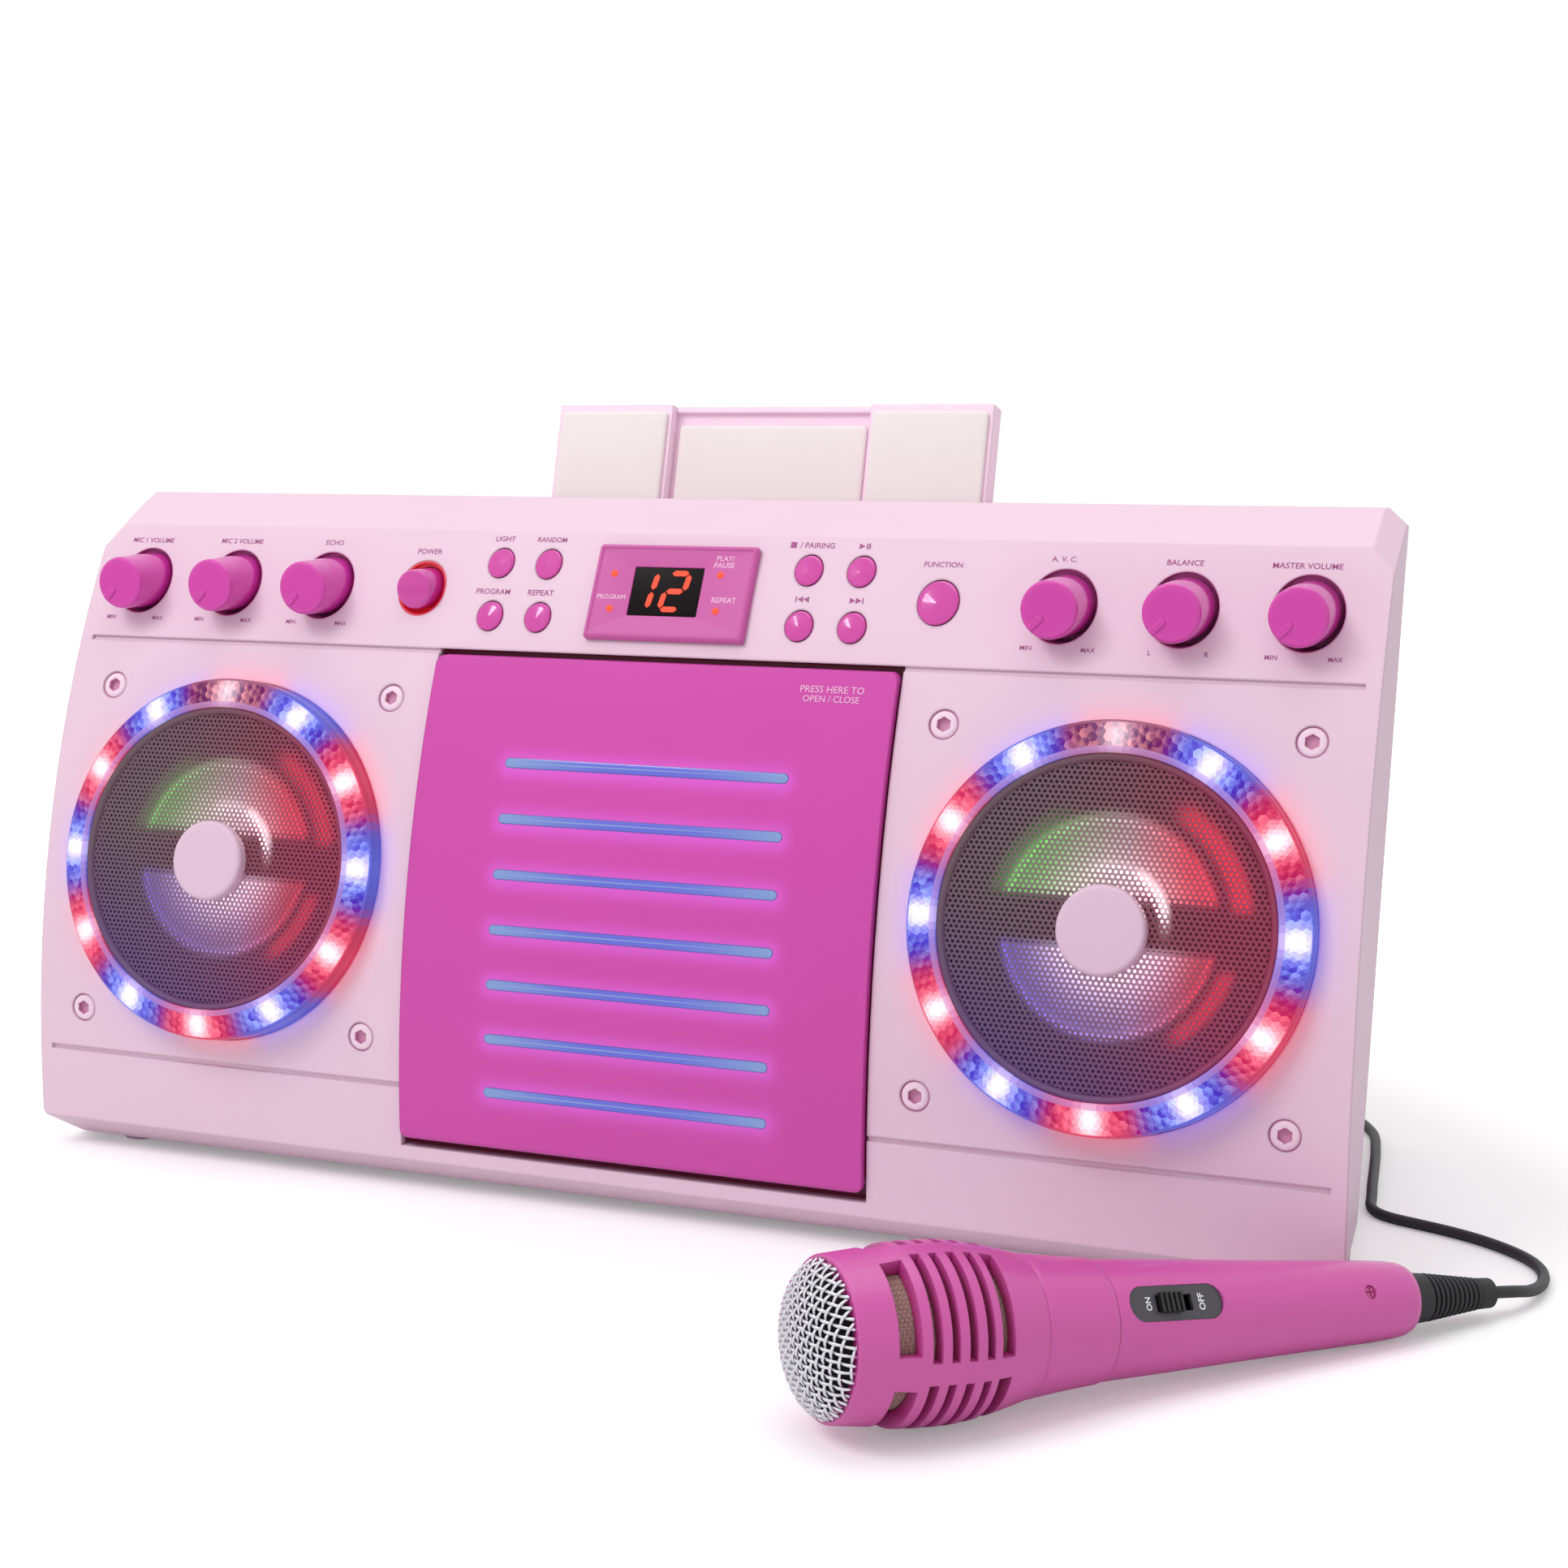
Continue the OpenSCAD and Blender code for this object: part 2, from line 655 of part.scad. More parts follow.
// Rubber feet.
module feet() {
    color([0.85, 0.7, 0.78]) for (p = [[-206, 24], [206, 24], [-184, 164], [184, 164]])
        translate([p.x, p.y, 0]) cylinder(r1 = 6.6, r2 = 7.2, h = low_z - 0.02, $fn = 48);
}

// Rear connection plate: two microphone jacks, a line input, a picture output and the mains inlet.
module rear_jacks() {
    color(rubber_black) difference() {
        union() {
            translate([96, depth - 12, jack_z - 13]) cube([88, 10, 26]);
            for (x = [jack_x[0], jack_x[1]]) translate([x, depth - 42, jack_z]) rotate([-90, 0, 0])
                cylinder(r = 7, h = 42);
            translate([jack_x[2], depth - 26, jack_z]) rotate([-90, 0, 0]) cylinder(r = 5, h = 26);
            translate([jack_x[3], depth - 14, jack_z]) rotate([-90, 0, 0]) cylinder(r = 4.2, h = 19);
        }
        for (x = [jack_x[0], jack_x[1]]) translate([x, depth - 36, jack_z]) rotate([-90, 0, 0])
            cylinder(r = 3.25, h = 60, $fn = 48);
        translate([jack_x[2], depth - 22, jack_z]) rotate([-90, 0, 0]) cylinder(r = 1.8, h = 60, $fn = 48);
        translate([jack_x[3], depth - 10, jack_z]) rotate([-90, 0, 0]) cylinder(r = 1.7, h = 60, $fn = 48);
        translate([jack_x[3], depth - 3, jack_z]) rotate([-90, 0, 0]) difference() {
            cylinder(r = 3.6, h = 1);
            cylinder(r = 2.6, h = 1);
        }
    }
}

// Screws that hold the cabinet together, sunk in its rear wall.
module cabinet_screws() {
    color(metal_grey) for (p = screw_at) translate([p.x, depth, p.y]) rotate([90, 0, 0]) difference() {
        union() {
            translate([0, 0, 0.2]) cylinder(r = 3.2, h = 2.2, $fn = 48);
            translate([0, 0, 2.4]) cylinder(r = 1.5, h = 18, $fn = 32);
        }
        translate([-2, -0.4, -1]) cube([4, 0.8, 2]);
        translate([-0.4, -2, -1]) cube([0.8, 4, 2]);
    }
}

// Outer radius of the microphone, as points of radius and distance from the tip: head, band and handle.
cage_skin = [[21.2, 8.8], [21.5, 9.6], [21.9, 14], [22.5, 20], [23.5, 27], [23.75, 34], [23.65, 42], [22.6, 50],
    [21, 57.5], [19.25, 64.4]];
band_skin = [[19.2, 64.5], [17.75, 76], [16.6, 87.2]];
handle_skin = [[16.2, 87.4], [15, 111], [13.18, 143], [11.4, 178], [10.85, 185],
    [10.3, 188.6], [9.6, 190.4], [8.6, mic_len]];
mic_rise = 0.05 + max([for (p = concat(cage_skin, handle_skin)) p.x * cos(mic_droop) + p.y * sin(mic_droop)]);

// Frame of the microphone: Z runs from the tip of the dome to the tail, X points up through the switch.
module at_mic() {
    translate([mic_tip.x, mic_tip.y, mic_rise])
        rotate([0, 90 + mic_droop, mic_turn]) rotate(180 + 90 - mic_roll) children();
}

// Stands its children on the axis side of the skin at distance s, their Z axis pointing outwards.
module on_mic(s, r, slope) {
    at_mic() translate([r, 0, s]) rotate([0, 90 - slope, 0]) children();
}

function inward(points, d) = [for (k = [len(points) - 1 : -1 : 0]) [points[k].x - d, points[k].y]];
function within(points, low, high) = [for (p = points) if (p.y > low && p.y < high) p];

// Woven dome at the head, as a plain shell.
module mic_grille() {
    dome_r = 20.3;
    dome_s = 9.7;
    color(metal_grey) at_mic() rotate_extrude() polygon(concat(
        [for (a = [90 : -7.5 : 0]) [dome_r * cos(a), dome_s - dome_s * sin(a)]], [[dome_r, 16], [dome_r - 1.2, 16]],
        [for (a = [0 : 7.5 : 90]) [(dome_r - 1.2) * cos(a), dome_s - (dome_s - 1.2) * sin(a)]]));
}

slots = [[19.4, 25.4, 33.4], [28.3, 31, 37.7], [33.6, 35.9, 37.7],
    [38.6, 41, 37.7], [43.8, 46.2, 37.7], [48.5, 52.5, 37.7]];
slots_turn = -5.5;
cage_wall = 4.2;

// Thick-walled slotted cage between the dome and the band.
// Each slot has its first and last distance and half its angle.
module mic_cage() {
    color(mic_pink) at_mic() difference() {
        rotate_extrude() polygon(concat(cage_skin, [[12, 64.4], [12, 62.8], [14.6, 62.8]],
            inward(within(cage_skin, 22, 60), cage_wall), [[18.3, 19], [18.3, 16.2], [20.4, 16.2], [20.4, 8.8]]));
        for (q = [0 : 3], w = slots) rotate(q * 90 + slots_turn - w[2]) rotate_extrude(angle = 2 * w[2])
            translate([14, w[0]]) square([20, w[1] - w[0]]);
    }
}

// Fine cloth screen inside the cage.
module mic_screen() {
    color([0.8, 0.72, 0.68]) at_mic() rotate_extrude() polygon(concat([[17.8, 18.6]],
        [for (p = within(cage_skin, 22, 60)) [p.x - cage_wall - 0.3, p.y]], [[15, 60], [14.4, 60]],
        inward(within(cage_skin, 22, 60), cage_wall + 0.9), [[17.2, 18.6]]));
}

// Sound capsule on its post inside the head.
module mic_capsule() {
    color(rubber_black) at_mic() rotate_extrude() polygon([
        [0, 20], [9, 20], [9, 32], [6, 32], [6, 64.4], [0, 64.4]]);
}

// Band between cage and handle.
module mic_band() {
    color(mic_pink) at_mic() rotate_extrude() polygon(concat(
        [[0, 64.5]], band_skin, [[13.5, 87.2], [13.5, 68], [0, 68]]));
}

switch_at = [106.3, 13.7, 3.2];
plate_long = 30.4;
plate_wide = 9.4;

// Tapered handle, hollow, with the flat recess of the switch.
module mic_handle() {
    color(mic_pink) difference() {
        at_mic() rotate_extrude() polygon(concat([[13.7, 87.3]], handle_skin, [[3, mic_len], [3, 188]],
            inward(within(handle_skin, 80, 186), 2.2)));
        on_mic(switch_at[0], switch_at[1], switch_at[2]) {
            translate([0, 0, -0.6]) stadium(plate_long + 0.1, plate_wide + 0.1, 8);
            translate([-5.6, -2.4, -9]) cube([12.2, 4.8, 10]);
        }
        at_mic() translate([0, 0, 172]) rotate([0, 90, 0]) cylinder(r = 1.9, h = 40, $fn = 32);
    }
}

// Plate of the microphone switch.
module mic_switch_plate() {
    color([0.2, 0.2, 0.22]) on_mic(switch_at[0], switch_at[1], switch_at[2]) difference() {
        translate([0, 0, -0.6]) stadium(plate_long, plate_wide, 1.3);
        translate([-5.3, -2.2, -2]) cube([11.6, 4.4, 5]);
    }
}

// Ribbed slider of the microphone switch, at the end that turns it on.
module mic_switch() {
    color(rubber_black) on_mic(switch_at[0], switch_at[1], switch_at[2]) {
        translate([-1.4, -1.9, -2]) cube([7.2, 3.8, 3]);
        translate([-1.4, -2.6, 1]) cube([7.2, 5.2, 0.9]);
        for (k = [0 : 4]) translate([-1.4 + k * 1.6, -2.6, 1.8]) cube([0.8, 5.2, 0.7]);
    }
}

// Ribbed strain relief behind the handle.
module mic_strain_relief() {
    sleeve_r = 7.4;
    rib_count = 10;
    rib_step = 1.85;
    rib_start = 198.2;
    color(rubber_black) at_mic() rotate_extrude() polygon(concat(
        [[0, mic_len], [sleeve_r, mic_len], [6.9, rib_start - 0.6]],
        [for (k = [0 : rib_count - 1]) each [
            [6 - 0.21 * k, rib_start + rib_step * k], [6.8 - 0.23 * k, rib_start + rib_step * k + 0.3],
            [6.8 - 0.23 * k, rib_start + rib_step * k + 1.2], [6 - 0.21 * k, rib_start + rib_step * k + 1.5]]],
        [[4.5, 217], [4.3, relief_end - 0.5], [3.7, relief_end], [0, relief_end]]));
}

// Route of the cord from the strain relief to the coil, lying on the table.
mic_axis = [cos(mic_turn) * cos(mic_droop), sin(mic_turn) * cos(mic_droop), -sin(mic_droop)];
mic_start = [mic_tip.x, mic_tip.y, mic_rise];
cord_z = cord_d / 2 + 0.1;
coil_centre = [148, 262];
coil_inner = 9;
coil_pitch = 4.6;
coil_turns = 5;
coil_outer = coil_inner + coil_pitch * coil_turns;
coil_layer = 4.4;
cord_exit = mic_start + relief_end * mic_axis;
cord_route = concat([cord_exit, cord_exit + cord_d * mic_axis],
    [[276.6, 23.6, 6.1], [279.6, 31, 4.2], [281.6, 40, 2.7],
    [282, 50, cord_z], [280.2, 58.6, cord_z], [276, 66.2, cord_z],
     [269.5, 73, cord_z], [260.5, 79.6, cord_z], [250, 84.8, cord_z], [240, 88.4, cord_z], [231, 91.6, cord_z],
     [225.4, 95.6, cord_z], [222.4, 102, cord_z], [221, 112, cord_z], [219, 126, cord_z], [216.6, 145, cord_z],
     [213.4, 168, cord_z], [209.6, 187, cord_z], [201, 204, cord_z], [189, 220, cord_z], [182, 238, cord_z],
     [180, 250, cord_z], [180, coil_centre.y - cord_d, cord_z]]);

// Ring of n points of radius r around p, square to the direction t.
function ring_at(p, t, r, n) = let (u = t / norm(t), h = cross([0, 0, 1], u), a = h / norm(h), b = cross(u, a))
    [for (k = [0 : n - 1]) p + r * (a * cos(360 * k / n) + b * sin(360 * k / n))];
function direction(pts, k) = k == 0 ? pts[1] - pts[0] :
    k == len(pts) - 1 ? pts[k] - pts[k - 1] :
    (pts[k + 1] - pts[k]) / norm(pts[k + 1] - pts[k]) + (pts[k] - pts[k - 1]) / norm(pts[k] - pts[k - 1]);
// Point of a smooth curve through the route between points k and k + 1.
function between(pts, k, t) =
    let (a = pts[max(k - 1, 0)], b = pts[k], c = pts[k + 1], d = pts[min(k + 2, len(pts) - 1)])
    b + 0.5 * t * (c - a) + t * t * (a - 2.5 * b + 2 * c - 0.5 * d)
    + t * t * t * (-0.5 * a + 1.5 * b - 1.5 * c + 0.5 * d);

// Tube swept along points, its ends square to the first and last step.
module tube(pts, r, n) {
    rings = [for (k = [0 : len(pts) - 1]) each ring_at(pts[k], direction(pts, k), r, n)];
    last = (len(pts) - 1) * n;
    sides = [for (k = [0 : len(pts) - 2], j = [0 : n - 1]) let (a = k * n + j, b = k * n + (j + 1) % n)
        each [[a, a + n, b + n], [a, b + n, b]]];
    caps = [for (j = [1 : n - 2]) each [[0, j, j + 1], [last, last + j + 1, last + j]]];
    polyhedron(rings, concat(sides, caps));
}

// Free stretch of the microphone cord.
module mic_cord() {
    path = concat([for (k = [0 : len(cord_route) - 2], t = [0, 0.5])
        k > 0 && k < len(cord_route) - 2 || t == 0 ? between(cord_route, k, t) :
            (cord_route[k] + cord_route[k + 1]) / 2],
        [cord_route[len(cord_route) - 1]]);
    color(rubber_black) tube(path, cord_d / 2, 8);
}

// Coil of the spare cord: in and up a layer, then out again, then straight into the plug.
coil_steps = 24;
function coil_point(k) = let (turn = k / coil_steps, back = 2 * coil_turns + 0.5 - turn,
    inner = max(min(turn, back), 0), climb = min(max((turn - coil_turns) / 0.5, 0), 1),
    r = coil_outer - coil_pitch * min(inner, coil_turns), a = 360 * turn)
    [coil_centre.x + r * cos(a), coil_centre.y + r * sin(a), cord_z + coil_layer * climb];
coil_path = [for (k = [0 : (2 * coil_turns + 0.5) * coil_steps]) coil_point(k)];
coil_end = coil_path[len(coil_path) - 1];
coil_gap = min([for (i = [0 : len(coil_path) - 1], j = [i + 12 : 1 : len(coil_path) - 1])
    norm(coil_path[i] - coil_path[j])]) - cord_d;
echo(coil_gap = coil_gap);

// The turns of the coil as one unbroken tube, straight for one diameter at its ends.
module mic_cord_coil() {
    straight = [0, cord_d, 0];
    color(rubber_black) tube(concat([coil_path[0] - straight], coil_path, [coil_end - straight]), cord_d / 2, 6);
}

// Jack plug of the cord, lying beside the coil.
module mic_plug() {
    tail = coil_end + [0, -cord_d, 0];
    color(rubber_black) translate(tail) rotate([90, 0, 0]) {
        rotate_extrude() polygon([[0, 0], [2.6, 0], [3.2, 10], [4.6, 10], [5.6, 13], [5.6, 34], [4.6, 36],
            [plug_r, 36], [plug_r, 58], [2.2, 60], [2.2, 61], [3, 63], [1.2, 66], [0, 66]]);
    }
}

// Places a piece in the frame of the whole set.
module put() {
    translate([set_x, set_y, 0]) children();
}

put() front_panel();
put() rear_cabinet();
put() light_ring(-1);  // light_ring_left
put() light_ring(1);  // light_ring_right
put() grille(-1);  // grille_left
put() grille(1);  // grille_right
put() speaker_cap(-1);  // speaker_cap_left
put() speaker_cap(1);  // speaker_cap_right
put() lamp_boards();
put() speaker_frame(-1);  // speaker_frame_left
put() speaker_frame(1);  // speaker_frame_right
put() speaker_cones();
put() hex_screws();
put() disc_door();
put() door_light_bars();
put() hinge_pins();
put() disc_tray();
put() turntable();
put() spindle_motor();
put() laser_sled();
put() sled_rails();
put() circuit_boards();
put() rotary_controls();
put() knob(knob_x[0]);  // mic_1_knob
put() knob(knob_x[1]);  // mic_2_knob
put() knob(knob_x[2]);  // echo_knob
put() knob(knob_x[3]);  // level_knob
put() knob(knob_x[4]);  // balance_knob
put() knob(knob_x[5]);  // master_knob
put() power_button();
put() push_button(small_x[0], small_z[1], small_r);  // light_button
put() push_button(small_x[1], small_z[1], small_r);  // random_button
put() push_button(small_x[0], small_z[0], small_r);  // program_button
put() push_button(small_x[1], small_z[0], small_r);  // repeat_button
put() push_button(small_x[2], small_z[1], small_r);  // stop_button
put() push_button(small_x[3], small_z[1], small_r);  // play_button
put() push_button(small_x[2], small_z[0], small_r);  // back_button
put() push_button(small_x[3], small_z[0], small_r);  // forward_button
put() push_button(function_x, control_z, function_r);  // function_button
put() power_ring();
put() display_plate();
put() display_window();
put() indicator_lamps();
put() cradle();
put() cradle_pads();
put() feet();
put() rear_jacks();
put() cabinet_screws();
put() mic_grille();
put() mic_cage();
put() mic_screen();
put() mic_capsule();
put() mic_band();
put() mic_handle();
put() mic_switch_plate();
put() mic_switch();
put() mic_strain_relief();
put() mic_cord();
put() mic_cord_coil();
put() mic_plug();
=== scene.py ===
import math
import bpy
import numpy as np
from mathutils import Matrix, Vector


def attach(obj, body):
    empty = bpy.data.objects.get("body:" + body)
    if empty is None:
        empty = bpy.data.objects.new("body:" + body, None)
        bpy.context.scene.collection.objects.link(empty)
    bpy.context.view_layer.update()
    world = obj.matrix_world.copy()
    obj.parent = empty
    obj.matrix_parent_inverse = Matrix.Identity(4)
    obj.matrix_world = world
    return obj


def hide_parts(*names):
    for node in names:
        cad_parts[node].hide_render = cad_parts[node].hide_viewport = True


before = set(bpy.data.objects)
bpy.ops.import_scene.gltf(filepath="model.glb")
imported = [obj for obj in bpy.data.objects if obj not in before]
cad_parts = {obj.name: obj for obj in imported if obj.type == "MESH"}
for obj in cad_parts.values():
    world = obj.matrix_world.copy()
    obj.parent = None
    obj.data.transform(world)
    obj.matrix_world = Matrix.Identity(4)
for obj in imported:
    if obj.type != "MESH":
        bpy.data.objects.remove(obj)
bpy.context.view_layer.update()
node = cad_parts

# The camera stands to the right of the console, a little above its top, and looks slightly down.
# Console measures are millimetres from the middle of its front foot line; SET_MIDDLE moves them to the set's origin.
SET_MIDDLE = np.array([-20.8, -18.2, 0.0])


def metres(x, y, z):
    """A console place in millimetres, moved to the middle of the set, in metres."""
    return (np.array([x, y, z], float) + SET_MIDDLE) / 1000.0


CAMERA_AT = metres(343.3, -704.0, 257.3)
CAMERA_PITCH = math.radians(90 - 8.283)
CAMERA_TURN = math.radians(22.223)
camera = bpy.data.objects.new("camera", bpy.data.cameras.new("camera"))
camera.data.sensor_width = 36.0
camera.data.lens = 57.314
camera.data.clip_start = 0.01
camera.location = CAMERA_AT
camera.rotation_euler = (CAMERA_PITCH, 0.0, CAMERA_TURN)
bpy.context.scene.collection.objects.link(camera)
bpy.context.scene.camera = camera
bpy.context.scene.view_settings.view_transform = "Standard"


# The microphone's lead: a limp black PVC cord. It lies on the table from the strain relief, round the console's
# corner, and its spare length is wound behind the console into a flat coil of two layers, ending at the plug.
CORD_RADIUS = 1.8
CORD_LOW = CORD_RADIUS + 0.1
MIC_TURN = math.radians(46.3)
MIC_DROOP = math.radians(5.1)
MIC_AXIS = np.array([math.cos(MIC_TURN) * math.cos(MIC_DROOP), math.sin(MIC_TURN) * math.cos(MIC_DROOP),
                     -math.sin(MIC_DROOP)])
CAGE_REST = (42.0, 23.65)  # the ring of the cage that lies on the table: its distance from the tip, and its radius
TABLE_GAP = 0.05
MIC_TIP = np.array([116.8, -145.0, CAGE_REST[1] * math.cos(MIC_DROOP) + CAGE_REST[0] * math.sin(MIC_DROOP) + TABLE_GAP])
RELIEF_END = 222.5
CORD_ROUTE = [(276.6, 23.6, 6.1), (279.6, 31, 4.2), (281.6, 40, 2.7)] + [(x, y, CORD_LOW) for x, y in (
    (282, 50), (280.2, 58.6), (276, 66.2), (269.5, 73), (260.5, 79.6), (250, 84.8), (240, 88.4), (231, 91.6),
    (225.4, 95.6), (222.4, 102), (221, 112), (219, 126), (216.6, 145), (213.4, 168), (209.6, 187), (201, 204),
    (189, 220), (182, 238), (180, 250), (180, 258.4))]
COIL_MIDDLE = np.array([148.0, 262.0])
COIL_INNER = 9.0
COIL_PITCH = 4.6
COIL_TURNS = 5
COIL_CLIMB = 4.4
CORD_STRAIGHT = 3.6


def smooth_route(points, steps):
    """Catmull-Rom: between two points the curve leaves each along the chord of its neighbours."""
    p = np.array(points, float)
    a, b = np.vstack([p[:1], p[:-2]]), p[:-1]
    c, d = p[1:], np.vstack([p[2:], p[-1:]])
    t = (np.arange(steps) / steps)[None, :, None]
    a, b, c, d = (q[:, None, :] for q in (a, b, c, d))
    curve = b + 0.5 * t * (c - a) + t**2 * (a - 2.5 * b + 2 * c - 0.5 * d)
    curve = curve + t**3 * (-0.5 * a + 1.5 * b - 1.5 * c + 0.5 * d)
    return np.vstack([curve.reshape(-1, 3), p[-1:]])


def coil_route(steps):
    """A flat spiral in, half a turn on the inner radius while it climbs one layer, then the same spiral out."""
    end = 2 * COIL_TURNS + 0.5
    turn = np.linspace(0, end, int(end * steps) + 1)
    wound = np.minimum(np.minimum(turn, end - turn), COIL_TURNS)
    radius = COIL_INNER + COIL_PITCH * (COIL_TURNS - wound)
    climb = CORD_LOW + COIL_CLIMB * np.clip((turn - COIL_TURNS) / 0.5, 0, 1)
    return np.stack([COIL_MIDDLE[0] + radius * np.cos(2 * np.pi * turn),
                     COIL_MIDDLE[1] + radius * np.sin(2 * np.pi * turn), climb], 1)


def mesh_object(name, points, faces, smooth=True, sharp=None):
    """A mesh piece at the origin from points in metres and a list or array of faces; smooth is one answer or one for
    each face. With sharp, edges that bend by more than that many degrees stay crisp."""
    mesh = bpy.data.meshes.new(name)
    mesh.from_pydata(np.asarray(points, float).tolist(), [], [list(map(int, f)) for f in faces])
    mesh.polygons.foreach_set("use_smooth", np.full(len(mesh.polygons), smooth))
    mesh.update()
    if sharp:
        mesh.set_sharp_from_angle(angle=math.radians(sharp))
    piece = bpy.data.objects.new(name, mesh)
    bpy.context.scene.collection.objects.link(piece)
    return piece


def grid_faces(rows, columns, ring=True):
    """Quads of a grid of rows by columns; with ring the last column meets the first again."""
    r, c = np.meshgrid(np.arange(rows - 1), np.arange(columns if ring else columns - 1), indexing="ij")
    here, right = r * columns + c, r * columns + (c + 1) % columns
    return np.stack([here, right, right + columns, here + columns], -1).reshape(-1, 4)


def unit(vectors):
    """The same directions with length 1."""
    return vectors / np.linalg.norm(vectors, axis=1)[:, None]


def pipe(path, level, upright, radius, sides):
    """A round tube: circles along the path, in the plane of the two given directions; both ends are closed."""
    a = 2 * np.pi * np.arange(sides) / sides
    ring = np.cos(a)[:, None] * level[:, None] + np.sin(a)[:, None] * upright[:, None]
    start, end = np.arange(sides)[::-1], np.arange((len(path) - 1) * sides, len(path) * sides)
    return (path[:, None] + radius * ring).reshape(-1, 3), [*grid_faces(len(path), sides), start, end]


cord_start = MIC_TIP + RELIEF_END * MIC_AXIS
cord_path = smooth_route([cord_start, cord_start + CORD_STRAIGHT * MIC_AXIS] + CORD_ROUTE, 4)
coil_path = coil_route(40)
cord_path = np.vstack([cord_path, coil_path, coil_path[-1:] - [0, CORD_STRAIGHT, 0]])
cord_path = (cord_path + SET_MIDDLE) / 1000.0
cord_along = unit(np.gradient(cord_path, axis=0))
cord_level = unit(np.cross([0.0, 0.0, 1.0], cord_along))
cord = mesh_object("mic_lead", *pipe(cord_path, cord_level, np.cross(cord_along, cord_level), CORD_RADIUS / 1000.0, 12))
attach(cord, "microphone")
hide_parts("mic_cord", "mic_cord_coil")


# The table and the backdrop: plain white, with only the console's soft shadow on it. To the camera the table shines
# by TABLE_LIFT, less near the console and more beyond it, over the distances of TABLE_REACH in metres, so that it runs
# into the backdrop.
TABLE_REACH = (0.28, 0.6)
TABLE_LIFT = (0.24, 1.0)
BACKDROP_LIGHT = 0.6


def srgb(red, green, blue):
    """A colour in steps of 255 as the linear values that a shader takes."""
    c = np.array([red, green, blue], float) / 255.0
    return tuple(np.where(c <= 0.04045, c / 12.92, ((c + 0.055) / 1.055) ** 2.4)) + (1.0,)


def new_material(name, colour, roughness=0.4, **sockets):
    """A plain Principled material; the sockets are constants on the shader itself."""
    material = bpy.data.materials.new(name)
    material.use_nodes = True
    shader = material.node_tree.nodes["Principled BSDF"]
    shader.inputs["Base Color"].default_value = colour
    shader.inputs["Roughness"].default_value = roughness
    for key, value in sockets.items():
        shader.inputs[key.replace("_", " ")].default_value = value
    return material


def dress(piece, material):
    """Gives a piece one material."""
    piece.data.materials.clear()
    piece.data.materials.append(material)


def add_node(tree, kind, **values):
    """Adds one node. Keys in small letters are the node's own settings, the others the constants of its sockets."""
    made = tree.nodes.new("ShaderNode" + kind)
    for key, value in values.items():
        if key.islower():
            setattr(made, key, value)
        else:
            made.inputs[key.replace("_", " ")].default_value = value
    return made


def wire(tree, *joints):
    """Links sockets: each joint is a node and its output, then the node and the input that they feed."""
    for source, output, target, socket in joints:
        tree.links.new(source.outputs[output], target.inputs[socket])


def math_steps(tree):
    """Gives a function that adds one math node, fed by numbers or by outputs, and returns its output."""
    def step(operation, *terms):
        made = add_node(tree, "Math", operation=operation)
        for socket, term in zip(made.inputs, terms):
            if isinstance(term, (int, float)):
                socket.default_value = term
            else:
                tree.links.new(term, socket)
        return made.outputs[0]

    return step


floor = mesh_object("floor", [(-4, -4, 0), (4, -4, 0), (4, 4, 0), (-4, 4, 0)], [(0, 1, 2, 3)], False)
table = new_material("white_table", (0.86, 0.86, 0.86, 1), 0.7)
tree = table.node_tree
seen, place, lift, both = (add_node(tree, kind) for kind in ("LightPath", "TexCoord", "Emission", "AddShader"))
away = add_node(tree, "VectorMath", operation="LENGTH")
far = add_node(tree, "MapRange", From_Min=TABLE_REACH[0], From_Max=TABLE_REACH[1], To_Min=TABLE_LIFT[0],
               To_Max=TABLE_LIFT[1])
level = math_steps(tree)("MULTIPLY", far.outputs["Result"], seen.outputs["Is Camera Ray"])
tree.links.new(level, lift.inputs["Strength"])
wire(tree, (place, "Object", away, 0), (away, "Value", far, "Value"), (tree.nodes["Principled BSDF"], 0, both, 0),
     (lift, 0, both, 1), (both, 0, tree.nodes["Material Output"], "Surface"))
dress(floor, table)

world = bpy.data.worlds.new("studio")
bpy.context.scene.world = world
world.use_nodes = True
tree = world.node_tree
tree.nodes.clear()
sky = add_node(tree, "Background", Color=(1, 1, 1, 1), Strength=BACKDROP_LIGHT)
white = add_node(tree, "Background", Color=(1, 1, 1, 1), Strength=1.0)
ray, pick, shown = (add_node(tree, kind) for kind in ("LightPath", "MixShader", "OutputWorld"))
step = math_steps(tree)
direct = step("MAXIMUM", ray.outputs["Is Camera Ray"], ray.outputs["Is Glossy Ray"])
tree.links.new(step("MAXIMUM", direct, ray.outputs["Is Transmission Ray"]), pick.inputs["Fac"])
wire(tree, (sky, 0, pick, 1), (white, 0, pick, 2), (pick, 0, shown, "Surface"))


def soft_light(name, place, aim, size, power):
    """A square soft box of the given size that points from its place to the aim."""
    light = bpy.data.objects.new(name, bpy.data.lights.new(name, "AREA"))
    light.data.size = size
    light.data.energy = power
    light.location = place
    light.rotation_euler = (Vector(aim) - Vector(place)).to_track_quat("-Z", "Y").to_euler()
    bpy.context.scene.collection.objects.link(light)
    return light


soft_light("key_light", (-0.7, -1.2, 1.6), aim=(0, 0, 0.1), size=0.9, power=14).visible_glossy = False
soft_light("top_light", (0.1, 0.1, 1.6), aim=(0, 0, 0.1), size=1.2, power=6)
soft_light("glint_light", (-0.8, -0.9, 1.5), aim=(0, 0, 0.2), size=0.2, power=1.6)


